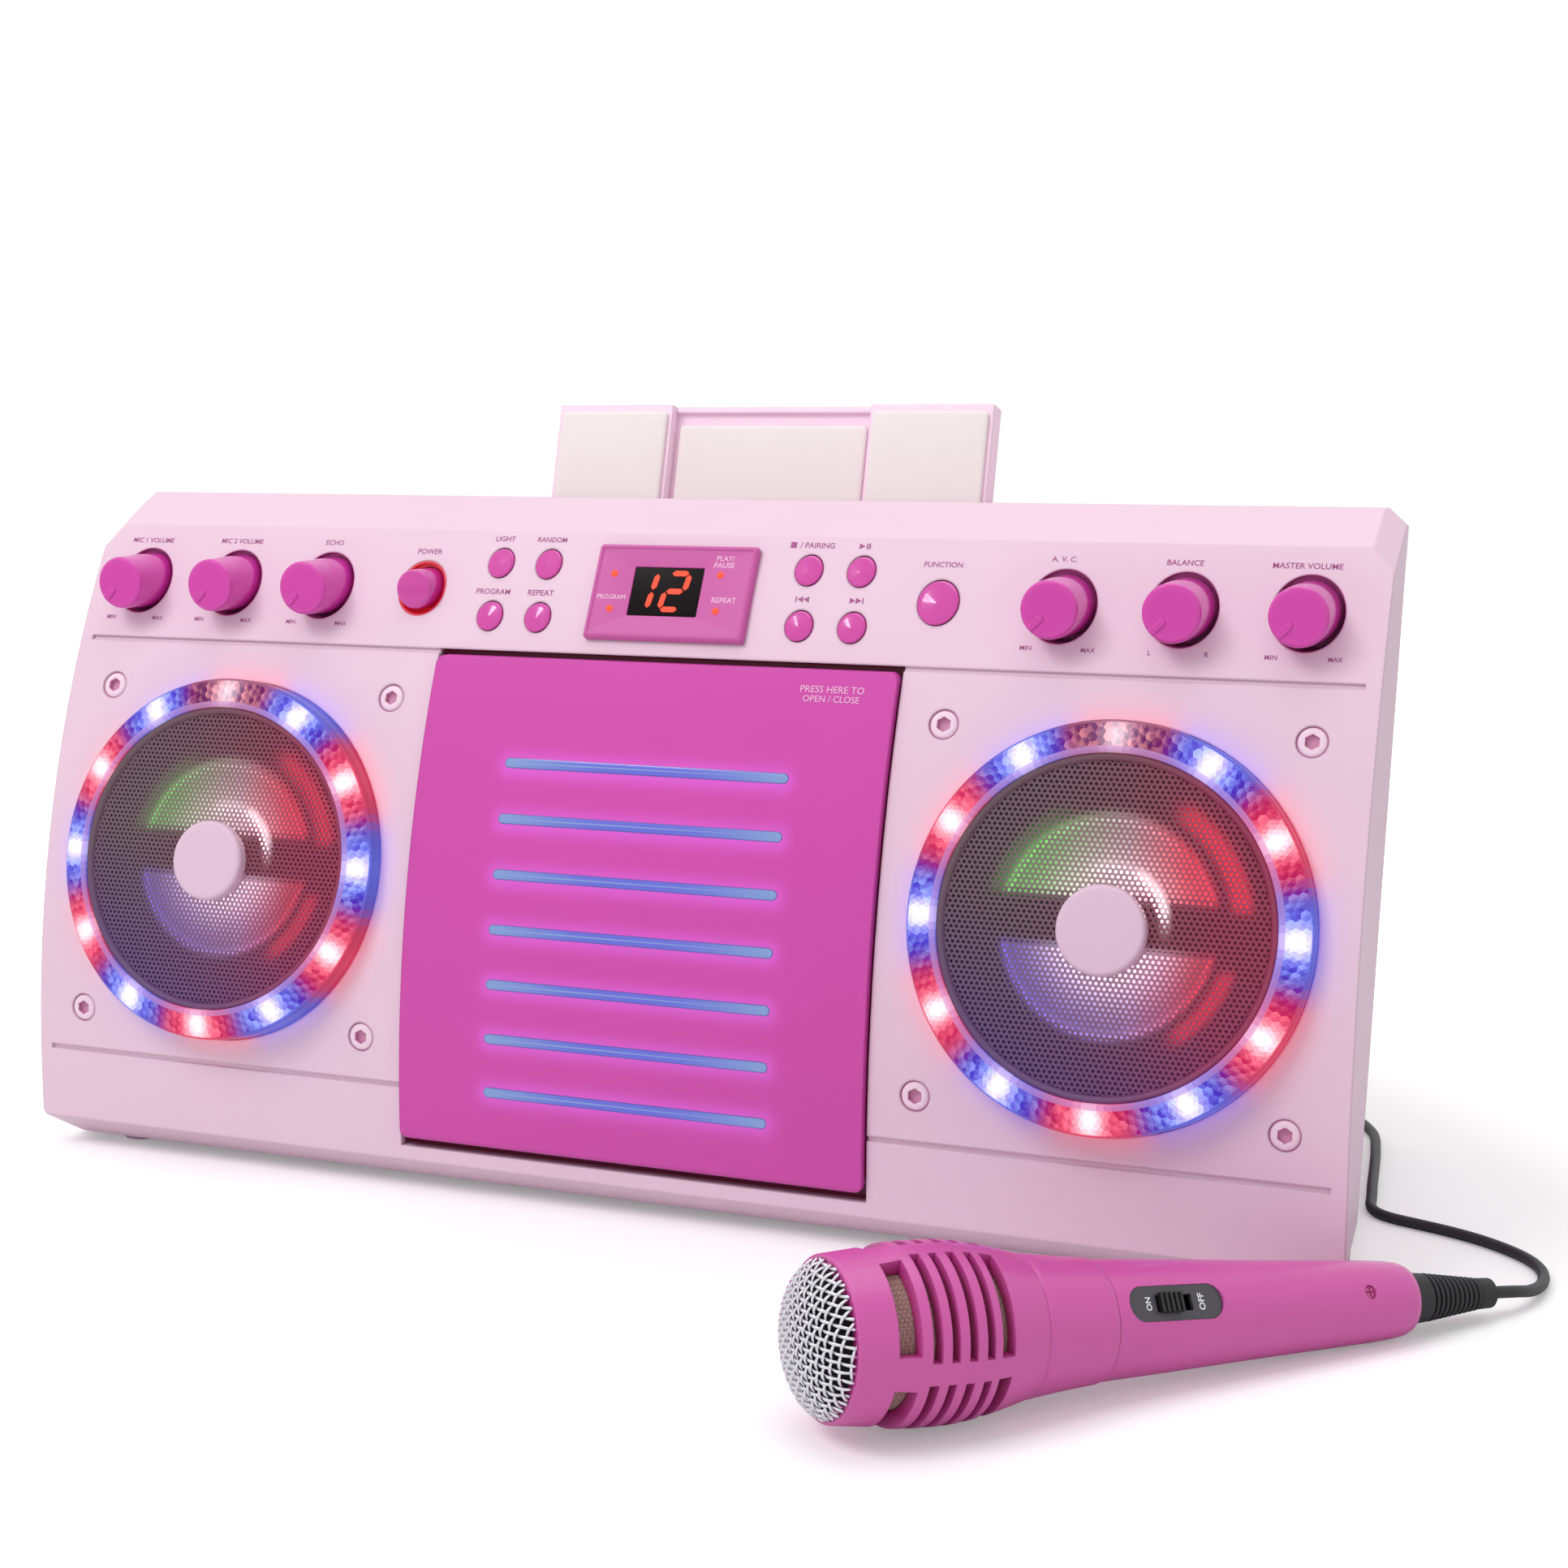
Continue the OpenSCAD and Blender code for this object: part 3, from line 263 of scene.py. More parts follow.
# The casing: front panel and rear cabinet, two injection mouldings of pale pink plastic with a fine spark texture.
# The panel is screwed to the cabinet from the front; round each loudspeaker the lit ring throws colour on it.
CASING_PINK = srgb(230, 199, 217)
SPEAKER_AT = (156.7, 107.6)
SPILL_FROM, SPILL_REACH = 62.0, 13.5
RECESS_MIDDLE, RECESS_FIRST, RECESS_STEP, RECESS_Z = -1.2, 132.6, 37.8, 200.5
RECESS_RADIUS = (11.08, 11.5)


def new_group(name, taken, given):
    """A node group with its input and output nodes; taken and given list its sockets by name and kind."""
    group = bpy.data.node_groups.new(name, "ShaderNodeTree")
    for way, sockets in (("INPUT", taken), ("OUTPUT", given)):
        for socket, kind in sockets.items():
            group.interface.new_socket(socket, in_out=way, socket_type="NodeSocket" + kind)
    return group, group.nodes.new("NodeGroupInput"), group.nodes.new("NodeGroupOutput")


def object_axes(tree):
    """The place on the object as three outputs, X, Y and Z."""
    place, apart = add_node(tree, "TexCoord"), add_node(tree, "SeparateXYZ")
    wire(tree, (place, "Object", apart, 0))
    return apart.outputs


def sum_of_squares(step, u, v):
    """Math nodes for u squared plus v squared."""
    return step("ADD", step("MULTIPLY", u, u), step("MULTIPLY", v, v))


def fine_grain():
    """Node group: colour and roughness varied a little by broad noise, and a fine height from small noise."""
    group, given, put = new_group(
        "fine_grain", {"Color": "Color", "Variation": "Float", "Roughness": "Float", "Scale": "Float"},
        {"Color": "Color", "Roughness": "Float", "Height": "Float"})
    step, place, tint = math_steps(group), add_node(group, "TexCoord"), add_node(group, "VectorMath", operation="SCALE")
    broad, fine = add_node(group, "TexNoise", Scale=28.0, Detail=3.0), add_node(group, "TexNoise", Detail=2.0)
    wire(group, (place, "Object", broad, "Vector"), (place, "Object", fine, "Vector"), (given, "Scale", fine, "Scale"))
    amount = step("MULTIPLY", step("SUBTRACT", broad.outputs["Fac"], 0.5), given.outputs["Variation"])
    shade = step("ADD", amount, 1.0)
    group.links.new(shade, tint.inputs["Scale"])
    group.links.new(step("MULTIPLY", given.outputs["Roughness"], shade), put.inputs["Roughness"])
    wire(group, (given, "Color", tint, 0), (tint, 0, put, "Color"), (fine, "Fac", put, "Height"))
    return group


GRAIN = fine_grain()


def moulded(name, colour, roughness=0.4, grain=2600.0, depth=0.012, variation=0.06, edge=0.0007, **sockets):
    """A moulded or cast finish: the grain group gives colour, roughness and height, and edges are eased in the
    normal. The height's depth is in millimetres, the radius of an edge in metres."""
    material = new_material(name, colour, roughness, **sockets)
    tree = material.node_tree
    shader = tree.nodes["Principled BSDF"]
    texture = add_node(tree, "Group", name="grain", node_tree=GRAIN, Color=colour, Variation=variation,
                       Roughness=roughness, Scale=grain)
    bump = add_node(tree, "Bump", Strength=0.35, Distance=depth / 1000.0)
    wire(tree, (texture, "Color", shader, "Base Color"), (texture, "Roughness", shader, "Roughness"),
         (texture, "Height", bump, "Height"), (bump, "Normal", shader, "Normal"))
    if edge:
        wire(tree, (add_node(tree, "Bevel", samples=4, Radius=edge), "Normal", bump, "Normal"))
    return material


def ring_spill():
    """Node group: the colour that two lit rings throw round them. Distance from a ring's middle in the x-z plane gives
    the strength, which falls off past the ring; the cosine of six times the angle gives red or blue."""
    group, _, put = new_group("ring_spill", {}, {"Color": "Color", "Strength": "Float"})
    step, axes = math_steps(group), object_axes(group)
    beside = step("ABSOLUTE", step("SUBTRACT", axes["X"], SET_MIDDLE[0] / 1000.0))
    out = step("SUBTRACT", beside, SPEAKER_AT[0] / 1000.0)
    up = step("DIVIDE", step("SUBTRACT", axes["Z"], SPEAKER_AT[1] / 1000.0), 0.977)
    radius = step("SQRT", sum_of_squares(step, out, up))
    wave = step("COSINE", step("MULTIPLY", step("ARCTAN2", out, up), 6.0))
    blend = add_node(group, "Mix", data_type="RGBA", A=srgb(255, 40, 95), B=srgb(120, 70, 255))
    group.links.new(step("MULTIPLY_ADD", wave, -1.1, 0.5), blend.inputs["Factor"])
    past = step("DIVIDE", step("SUBTRACT", radius, SPILL_FROM / 1000.0), SPILL_REACH / 1000.0)
    fall = step("MAXIMUM", step("SUBTRACT", 1.0, past), 0.0)
    wire(group, (blend, "Result", put, "Color"))
    group.links.new(step("MINIMUM", step("POWER", fall, 2.2), 1.0), put.inputs["Strength"])
    return group


def recess_shade():
    """Node group: 1 inside the knob recesses and 0 outside. Left and right are folded together, then the three
    recesses of a side by their step, which leaves the distance from the nearest recess's axis."""
    group, _, put = new_group("recess_shade", {}, {"Inside": "Float"})
    step, axes = math_steps(group), object_axes(group)
    beside = step("ABSOLUTE", step("SUBTRACT", axes["X"], (SET_MIDDLE[0] + RECESS_MIDDLE) / 1000.0))
    order = step("DIVIDE", step("SUBTRACT", beside, RECESS_FIRST / 1000.0), RECESS_STEP / 1000.0)
    nearest = step("MINIMUM", step("MAXIMUM", step("ROUND", order), 0.0), 2.0)
    wide = step("MULTIPLY", step("SUBTRACT", order, nearest), RECESS_STEP)
    high = step("MULTIPLY", step("SUBTRACT", axes["Z"], RECESS_Z / 1000.0), 1000.0)
    inside = add_node(group, "MapRange", From_Min=RECESS_RADIUS[1], From_Max=RECESS_RADIUS[0])
    group.links.new(step("SQRT", sum_of_squares(step, wide, high)), inside.inputs["Value"])
    wire(group, (inside, "Result", put, "Inside"))
    return group


panel_finish = moulded("panel_plastic", CASING_PINK, 0.42, edge=0.0011)
tree = panel_finish.node_tree
shader = tree.nodes["Principled BSDF"]
# Inside the knob recesses the panel is painted a darker magenta, as painted shade.
recess, spill = (add_node(tree, "Group", node_tree=group) for group in (recess_shade(), ring_spill()))
recess_shaded = add_node(tree, "Mix", data_type="RGBA", B=srgb(206, 92, 168))
lit = add_node(tree, "Mix", data_type="RGBA", A=(0, 0, 0, 1))
wire(tree, (tree.nodes["grain"], "Color", recess_shaded, "A"), (recess, "Inside", recess_shaded, "Factor"),
     (recess_shaded, "Result", shader, "Base Color"), (spill, "Color", lit, "B"), (spill, "Strength", lit, "Factor"),
     (lit, "Result", shader, "Emission Color"))
shader.inputs["Emission Strength"].default_value = 0.3
cabinet_finish = moulded("cabinet_plastic", CASING_PINK, 0.5, grain=1800.0, depth=0.02, edge=0.0011)
dress(node["front_panel"], panel_finish)
dress(node["rear_cabinet"], cabinet_finish)
dress(cord, moulded("cord_rubber", srgb(26, 26, 29), 0.5, grain=1500.0, edge=0))


# The two light rings: clear acrylic mouldings snapped round the grilles, the slope of each cut into small hexagonal
# prisms. Twelve lamps, one every 30 degrees and red and blue in turn, shine through them from the board behind.
FACE_RADIUS = 388.0
FACE_UPRIGHT = 26.0
RING_OUTER = 62.1
RING_INNER = 52.0
PRISMS_ROUND = 216
PRISM_ROWS = 5
LAMP_RADIUS = 57.0
WALL_FROM = 61.3  # faces of the moulding past this radius are its outer wall


def rgb(*steps):
    """The three linear values of a colour, without its alpha."""
    return np.array(srgb(*steps)[:3])


RED_FACETS = np.array([rgb(200, 8, 78), rgb(255, 104, 130)])
BLUE_FACETS = np.array([rgb(54, 34, 196), rgb(138, 156, 255)])
DIM_FACETS = np.array([rgb(92, 14, 96), rgb(236, 146, 160)])


def face_depth(z):
    """How far the barrel face lies behind its foremost line at height z: upright up to 26, an arc above."""
    return FACE_RADIUS - math.sqrt(FACE_RADIUS**2 - max(z - FACE_UPRIGHT, 0.0) ** 2)


def on_face(points, x, z):
    """Stands points drawn on a flat panel, their third axis towards the viewer, on the barrel face at x and z."""
    p = np.asarray(points, float)
    lean = math.asin(max(z - FACE_UPRIGHT, 0.0) / FACE_RADIUS)
    c, s = math.cos(lean), math.sin(lean)
    depth, high = p[:, 1] * s - p[:, 2] * c, p[:, 1] * c + p[:, 2] * s
    return (np.stack([p[:, 0] + x, depth + face_depth(z), high + z], 1) + SET_MIDDLE) / 1000.0


def on_speaker(points, side):
    """Stands points on the face at a loudspeaker: the left one for side -1, the right one for side 1."""
    return on_face(points, side * SPEAKER_AT[0], SPEAKER_AT[1])


def turned(profile, sides, closed=False):
    """Points and quads of a solid turned round the third axis: each profile point (radius, height) becomes a circle.
    In a closed solid the last circle meets the first."""
    p = np.asarray(profile, float)
    a = 2 * np.pi * np.arange(sides) / sides
    height = np.broadcast_to(p[:, 1:], (len(p), sides))
    points = np.stack([p[:, :1] * np.cos(a), p[:, :1] * np.sin(a), height], -1).reshape(-1, 3)
    return points, grid_faces(len(p) + closed, sides) % len(points)


def joined(*solids):
    """Points and faces of several solids as one; each entry is (points, faces)."""
    points, faces, start = [], [], 0
    for p, f in solids:
        points.append(np.asarray(p, float))
        faces.extend([v + start for v in face] for face in f)
        start += len(p)
    return np.vstack(points), faces


def clock(points):
    """Hours round a ring: 0 at the top, 3 at the right as seen from the front."""
    return (np.pi / 2 - np.arctan2(points[:, 1], points[:, 0])) / (np.pi / 6) % 12


def ring_light(points, tone):
    """Light of each facet. The lamp of its hour gives a dark and a light colour, red at even hours and blue at odd
    ones, and tone from 0 to 1 picks between them; facets close to a lamp are nearly white. The lamp at 12 is dim."""
    hour, radius = clock(points), np.hypot(points[:, 0], points[:, 1])
    blue = 0.5 + 0.5 * np.tanh((np.abs((hour + 1) % 2 - 1) - 0.5) * 9)
    dim = 0.5 - 0.5 * np.tanh((np.minimum(hour, 12 - hour) - 0.5) * 9)
    pair = RED_FACETS + (BLUE_FACETS - RED_FACETS) * blue[:, None, None]
    pair = pair + (DIM_FACETS - pair) * dim[:, None, None]
    away = np.hypot((hour - np.round(hour)) * math.pi / 6 * LAMP_RADIUS, (radius - LAMP_RADIUS) * 0.7)
    near = np.exp(-((away / 8.0) ** 2)) * (1 - 0.35 * dim)
    hot = np.exp(-((away / 3.7) ** 2)) * (1 - 0.45 * dim)
    pick = np.clip(tone * (0.8 + 0.5 * near) + 0.2 * near, 0, 1)[:, None]
    light = (pair[:, 0] * (1 - pick) + pair[:, 1] * pick) * (0.62 + 0.5 * near)[:, None]
    return light + (np.array([0.95, 0.84, 0.9]) - light * 0.8) * hot[:, None]


def prisms():
    """The slope of a ring as a triangular lattice whose every third point is raised, which makes hexagonal pyramids;
    the third result is true at the raised points."""
    i, j = np.meshgrid(np.arange(PRISMS_ROUND), np.arange(PRISM_ROWS + 1), indexing="xy")
    radius = RING_OUTER - 1.0 + (RING_INNER + 2.0 - RING_OUTER + 1.0) * j / PRISM_ROWS
    angle = 2 * np.pi * (i + 0.5 * (j % 2)) / PRISMS_ROUND
    slope = 6.0 + 1.9 * j / PRISM_ROWS
    apex = ((i - j // 2 - j) % 3 == 0) & (j > 0) & (j < PRISM_ROWS)
    high = slope + np.where(apex, 0.4, -0.15)
    points = np.stack([radius * np.cos(angle), radius * np.sin(angle), high], -1).reshape(-1, 3)
    r, c = np.meshgrid(np.arange(PRISM_ROWS), np.arange(PRISMS_ROUND), indexing="ij")
    n = PRISMS_ROUND
    a, b = r * n + c, r * n + (c + 1) % n
    up, up_next = a + n, b + n
    odd = (r % 2 == 1)[..., None]
    one = np.where(odd, np.stack([a, b, up_next], -1), np.stack([a, b, up], -1))
    two = np.where(odd, np.stack([a, up_next, up], -1), np.stack([b, up_next, up], -1))
    return points, np.concatenate([one, two], 1).reshape(-1, 3), apex.ravel()


def paint(piece, attribute, colours, domain="POINT"):
    """Stores one colour for each point or face corner as an attribute of the piece."""
    rows = np.hstack([colours[:, :3], np.ones((len(colours), 1))])
    piece.data.color_attributes.new(attribute, "FLOAT_COLOR", domain).data.foreach_set("color", rows.ravel())


def light_ring(name, side, seed):
    """One ring: the turned moulding, and the prisms on its slope, with the lamps' light and painted facet shading in
    lamp_light.
    """
    rng = np.random.default_rng(seed)
    shell = [(62.1, -7), (62.1, 4.6), (61.9, 5.3), (61.4, 5.8), (61.1, 5.85), (54.0, 7.75), (53.6, 8.35), (53.0, 8.65),
             (52.5, 8.6), (52.1, 8.2), (52.0, 7.6), (52.0, 3.4), (59.1, 1.6), (59.1, -7)]
    moulding, lens = turned(shell, 144, True), prisms()
    points, faces = joined(moulding, lens[:2])
    plain = len(moulding[1])
    middle = np.vstack([points[np.array(faces[:plain])].mean(1), points[np.array(faces[plain:])].mean(1)])
    edges = points[np.array(faces[plain:])]
    normal = unit(np.cross(edges[:, 1] - edges[:, 0], edges[:, 2] - edges[:, 0]))
    outward = unit(edges.mean(1)[:, :2])
    sideways = normal[:, 0] * -outward[:, 1] + normal[:, 1] * outward[:, 0]
    inward_tilt = -(normal[:, :2] * outward).sum(1)
    # Each prism takes a random tone, and its facets a painted highlight or shade by the way they face: lighter facing
    # one way round the ring, darker the other, and lighter as they tilt inwards.
    tone = np.full(len(faces), 0.45)
    owner = lens[1][np.arange(len(lens[1])), lens[2][lens[1]].argmax(1)]
    tone[plain:] = np.clip(0.9 * rng.random(len(lens[0]))[owner] + 0.9 * sideways + 0.4 * inward_tilt, 0, 1)
    reach = np.hypot(middle[:plain, 0], middle[:plain, 1])
    lit_at = middle.copy()
    lit_at[:plain, :2] *= np.where(reach > WALL_FROM, 1.15, 1.0)[:, None]
    light = ring_light(lit_at, tone)
    lip = ((reach < 54.2) & (middle[:plain, 2] > 7))[:, None]
    light[:plain] = np.where(lip, light[:plain] * 0.45 + np.array([0.2, 0.11, 0.26]), light[:plain] * 0.8)
    light[:plain] *= np.where((reach > WALL_FROM) & (middle[:plain, 2] > 5), 1.3, 1.0)[:, None]
    piece = mesh_object(name, on_speaker(points, side), faces, np.arange(len(faces)) < plain)
    paint(piece, "lamp_light", np.repeat(light, [len(f) for f in faces], axis=0), "CORNER")
    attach(piece, "console")
    return piece


def attribute_light(name, roughness, attribute, strength, own, gloss=0.6, **sockets):
    """A lit material: a colour attribute times strength is its light, and times own its body colour."""
    material = new_material(name, (0, 0, 0, 1), roughness, Emission_Strength=strength, Coat_Weight=gloss,
                            Coat_Roughness=0.08, **sockets)
    tree = material.node_tree
    shader = tree.nodes["Principled BSDF"]
    read = add_node(tree, "Attribute", attribute_name=attribute)
    mix = add_node(tree, "Mix", data_type="RGBA", Factor=own, A=(0, 0, 0, 1))
    wire(tree, (read, "Color", mix, "B"), (mix, "Result", shader, "Base Color"),
         (read, "Color", shader, "Emission Color"))
    return material


ring_material = attribute_light("clear_ring_lit", 0.3, "lamp_light", 1.08, 0.3, 0.05, Specular_IOR_Level=0.15)
for side, word, seed in ((-1, "left", 3), (1, "right", 8)):
    ring = light_ring("lens_" + word, side, seed)
    dress(ring, ring_material)
    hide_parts("light_ring_" + word)


# The grilles: steel sheet perforated with staggered round holes, painted a purplish brown, pressed into a shallow
# dish and held by a turned-back rim. The cone behind each one is lit by colour lamps through a slotted reflector.
HOLE_PITCH = 1.75
HOLE_RADIUS = 0.6
GRILLE_TOP = 7.2
GRILLE_THICK = 0.5
GRILLE_EDGE = 50.4
GRILLE_RIM = ((51.9, -5), (51.9, 6.9), (51.6, 7.3), (51.0, 7.4), (50.3, 7.1), (49.6, 6.2), (49.6, 5.4), (50.6, 5.2),
              (50.7, -5))
GLOW_GREEN, GLOW_WHITE = rgb(104, 190, 88), rgb(255, 232, 240)
GLOW_RED, GLOW_BLUE = rgb(246, 54, 66), rgb(104, 78, 222)
SEEN_ASIDE, SEEN_TURN, SEEN_UP = 3.9, 1.8, 1.7  # how far the cone is seen moved to the side and up through the web


def perforated_disc():
    """A hexagonal lattice of cells; each cell is a flat ring from its hexagon to a six-sided hole, with the hole's
    wall. The sheet sinks towards its edge as the square of the distance."""
    reach = int(GRILLE_EDGE / HOLE_PITCH) + 2
    i, j = np.meshgrid(np.arange(-reach, reach + 1), np.arange(-reach - 8, reach + 9), indexing="xy")
    centre = np.stack([(i + 0.5 * (j % 2)) * HOLE_PITCH, j * HOLE_PITCH * math.sqrt(3) / 2], -1).reshape(-1, 2)
    centre = centre[np.hypot(centre[:, 0], centre[:, 1]) < GRILLE_EDGE - 0.4]
    a = np.pi / 6 + np.pi / 3 * np.arange(6)
    ring = np.stack([np.cos(a), np.sin(a)], -1)
    rows = [(HOLE_PITCH / math.sqrt(3), GRILLE_TOP), (HOLE_RADIUS, GRILLE_TOP),
            (HOLE_RADIUS, GRILLE_TOP - GRILLE_THICK)]
    points = np.stack([np.dstack([centre[:, None] + r * ring, np.full((len(centre), 6, 1), z)]) for r, z in rows], 1)
    points[..., 2] -= 0.00045 * (points[..., 0] ** 2 + points[..., 1] ** 2)
    cell = grid_faces(3, 6)
    faces = (cell[None] + 18 * np.arange(len(centre))[:, None, None]).reshape(-1, 4)
    return points.reshape(-1, 3), faces


def cone_light(x, y):
    """Light on the cone: two half discs cut off by a dark bar, the upper green to white to red, the lower violet to
    pale to red, each paler towards the cap; thin crescents outside them on the right, a faint green one on the left,
    and a bright arc round the cap."""
    r, a = np.hypot(x, y), np.arctan2(y, x)
    s = lambda edge, v, soft: 1 / (1 + np.exp(-(v - edge) / soft))
    blend = lambda p, q, t: p + (q - p) * np.clip(t, 0, 1)[..., None]
    wide = np.hypot(x + 0.6, y + 0.3)
    upper = s(8.4, y, 0.3) * (1 - s(34.0, wide, 0.5))
    lower = s(6.6, -y, 0.3) * (1 - s(33.5, wide, 0.5))
    pale = np.exp(-(((r - 13) / 11.0) ** 2))
    top = np.where((x < 4)[..., None], blend(GLOW_GREEN, GLOW_WHITE * 0.45, (x + 22) / 26),
                   blend(GLOW_WHITE * 0.45, GLOW_RED, (x - 4) / 18))
    top = blend(top, GLOW_WHITE, 0.4 * pale)
    bottom = np.where((x < 6)[..., None], blend(GLOW_BLUE, GLOW_WHITE * 0.5, (x + 40) / 90),
                      blend(GLOW_BLUE * 0.6 + GLOW_WHITE * 0.3, GLOW_RED * 0.75, (x - 6) / 20))
    bottom = blend(bottom, GLOW_WHITE, 0.65 * pale)
    rim = np.exp(-(((wide - 32.4) / 0.8) ** 2))
    light = top * (upper * (0.62 + 0.4 * pale + 0.5 * rim))[..., None]
    light += bottom * (lower * (0.42 + 0.65 * pale + 0.55 * rim))[..., None]
    crescent = s(38.0, wide, 0.4) * (1 - s(44.0, wide, 0.4)) * s(7.0, y, 0.5) * s(0.62, np.cos(a - 0.15), 0.03)
    crescent += 0.8 * s(36.0, wide, 0.4) * (1 - s(40.5, wide, 0.4)) * s(11.0, -y, 0.5) * s(0.78, np.cos(a + 0.3), 0.02)
    light += GLOW_RED * (crescent * 0.6)[..., None]
    faint = s(34.0, r, 0.6) * (1 - s(38.5, r, 0.6)) * s(8.5, y, 0.5) * s(0.75, np.cos(a - 2.75), 0.04)
    light += GLOW_GREEN * (faint * 0.2)[..., None]
    turn = np.arctan2(y + 0.3, x + 0.6)
    arc = 2.6 * s(0.91, np.cos(turn - 0.66), 0.015) + 0.7 * s(0.6, np.cos(turn - 0.95), 0.05)
    arc = np.exp(-(((wide - 17.5) / 1.6) ** 4)) * arc
    light = light * 1.5 + GLOW_WHITE * arc[..., None]
    warm = np.clip(0.5 + x / 70.0, 0, 1)
    return light + np.stack([0.020 + 0.06 * warm**2, 0.011 + 0 * x, 0.018 + 0.03 * np.clip(-y / 45, 0, 1)], -1)


def web_paint_and_lamp_light(points, side):
    """Colour of the web: its brown paint, with the ring's lamps painted on as light, red towards the right and purple
    towards the lower left, and a fifth of the cone's light, taken where the cone is seen through the web by someone to
    its right."""
    x, y = points[:, 0] / 50.0, points[:, 1] / 50.0
    right = np.clip(0.5 + 0.75 * x, 0, 1)[:, None]
    low_left = np.clip(-0.15 - 0.7 * y - 0.35 * x, 0, 1)[:, None]
    brown, red, purple = rgb(104, 80, 90), rgb(140, 46, 80), rgb(88, 54, 120)
    colour = brown + (red - brown) * right**1.6
    behind = cone_light(points[:, 0] - SEEN_ASIDE + SEEN_TURN * side, points[:, 1] - SEEN_UP)
    return colour + (purple - colour) * low_left + 0.2 * behind


# The web's colour also glows a little, as painted lamp light on it.
grille_material = attribute_light("grille_paint", 0.45, "web_paint_and_light", 0.35, 0.6, 0.0)
for side, word in ((-1, "left"), (1, "right")):
    points, faces = joined(turned(GRILLE_RIM, 120, True), perforated_disc())
    grille = mesh_object("perforated_grille_" + word, on_speaker(points, side), faces,
                         np.arange(len(faces)) < 120 * len(GRILLE_RIM))
    paint(grille, "web_paint_and_light", web_paint_and_lamp_light(points, side))
    dress(grille, grille_material)
    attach(grille, "console")
    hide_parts("grille_" + word)


# The lit cones: what shows through the holes of each grille, with the lamps' pattern as its light.
CONE_RINGS = 64
CONE_SPOKES = 240
CONE_EDGE = 50.6


def lit_cone(name, side):
    """A shallow cone behind the grille as a polar grid, its light in the attribute cone_light: height is a small part
    of the radius."""
    r = np.linspace(0.5, CONE_EDGE, CONE_RINGS)
    a = 2 * np.pi * np.arange(CONE_SPOKES) / CONE_SPOKES
    x, y = (r[:, None] * np.cos(a)).ravel(), (r[:, None] * np.sin(a)).ravel()
    z = (-1.0 + 0.03 * r[:, None] + 0 * a).ravel()
    piece = mesh_object(name, on_speaker(np.stack([x, y, z], 1), side), grid_faces(CONE_RINGS, CONE_SPOKES))
    paint(piece, "cone_light", cone_light(x, y))
    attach(piece, "console")
    return piece


cone_material = attribute_light("cone_lit", 0.6, "cone_light", 1.0, 0.3, 0.0)
for side, word in ((-1, "left"), (1, "right")):
    dress(lit_cone("cone_" + word, side), cone_material)


# The caps: round buttons of pale pink plastic pressed into the middle of each grille, their edge well rounded.
CAP_RADIUS = 13.7
CAP_TOP = 10.9
CAP_ROUND = 1.6
CAP_DROP = 1.0
cap_material = moulded("cap_plastic", srgb(221, 190, 211), 0.34, grain=900.0, edge=0)


def rounded_edge(radius, high, rim):
    """Profile points of a quarter round of size rim, from the side at this radius to the front at this height."""
    q = np.linspace(0, np.pi / 2, 8)
    return [tuple(p) for p in np.stack([radius - rim + rim * np.cos(q), high - rim + rim * np.sin(q)], 1)]


cap_profile = [(CAP_RADIUS, 6.4), *rounded_edge(CAP_RADIUS, CAP_TOP, CAP_ROUND), (9.0, CAP_TOP), (4.5, CAP_TOP),
               (0.02, CAP_TOP)]
for side, word in ((-1, "left"), (1, "right")):
    points, faces = turned(cap_profile, 96)
    cap = mesh_object("grille_cap_" + word, on_speaker(points - [0, CAP_DROP, 0], side), faces)
    dress(cap, cap_material)
    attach(cap, "console")
    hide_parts("speaker_cap_" + word)


# The eight panel screws: pink-capped steel screws with a hexagon socket, sunk in soft-edged recesses of the panel.
# The socket and the head's side, down to the recess, are painted a darker pink than the head, as their shade.
SCREW_X = (98.7, 212.3)
SCREW_Z = (51.9, 164.2)
SCREW_RINGS, SCREW_SIDES = 12, 48
HEAD_FROM, SOCKET_FROM = 4, 9  # the rings where the paler head starts and where the socket does


def socket_screw():
    """A turned round head with a rounded rim; its middle ring is a hexagon that drops straight into the socket."""
    a = 2 * np.pi * np.arange(SCREW_SIDES) / SCREW_SIDES
    hexagon = 2.4 * math.cos(np.pi / 6) / np.cos((a + np.pi / 6) % (np.pi / 3) - np.pi / 6)
    rows = [(4.86, -2.3), (4.86, -0.95), (4.7, -0.8), (4.45, -0.75), (4.35, -0.4), (4.05, -0.1), (3.6, 0.1),
            (3.0, 0.15)]
    rows += [(k * hexagon, z) for k, z in ((1.08, 0.15), (1.0, 0.0), (1.0, -1.5), (0.02, -1.7))]
    rings = [np.stack([r * np.cos(a), r * np.sin(a), np.full(SCREW_SIDES, z)], 1) for r, z in rows]
    return np.vstack(rings), grid_faces(SCREW_RINGS, SCREW_SIDES)


def grain_colour(material, attribute):
    """Lets a colour attribute of the piece take the place of the material's own colour in its grain."""
    tree = material.node_tree
    wire(tree, (add_node(tree, "Attribute", attribute_name=attribute), "Color", tree.nodes["grain"], "Color"))


screw_points, screw_faces = socket_screw()
screw_solids = [(on_face(screw_points, side * x, z), screw_faces) for side in (-1, 1) for x in SCREW_X for z in SCREW_Z]
points, faces = joined(*screw_solids)
screws = mesh_object("socket_screws", points, faces, sharp=35)
ring_of = np.tile(np.repeat(np.arange(SCREW_RINGS), SCREW_SIDES), len(screw_solids))
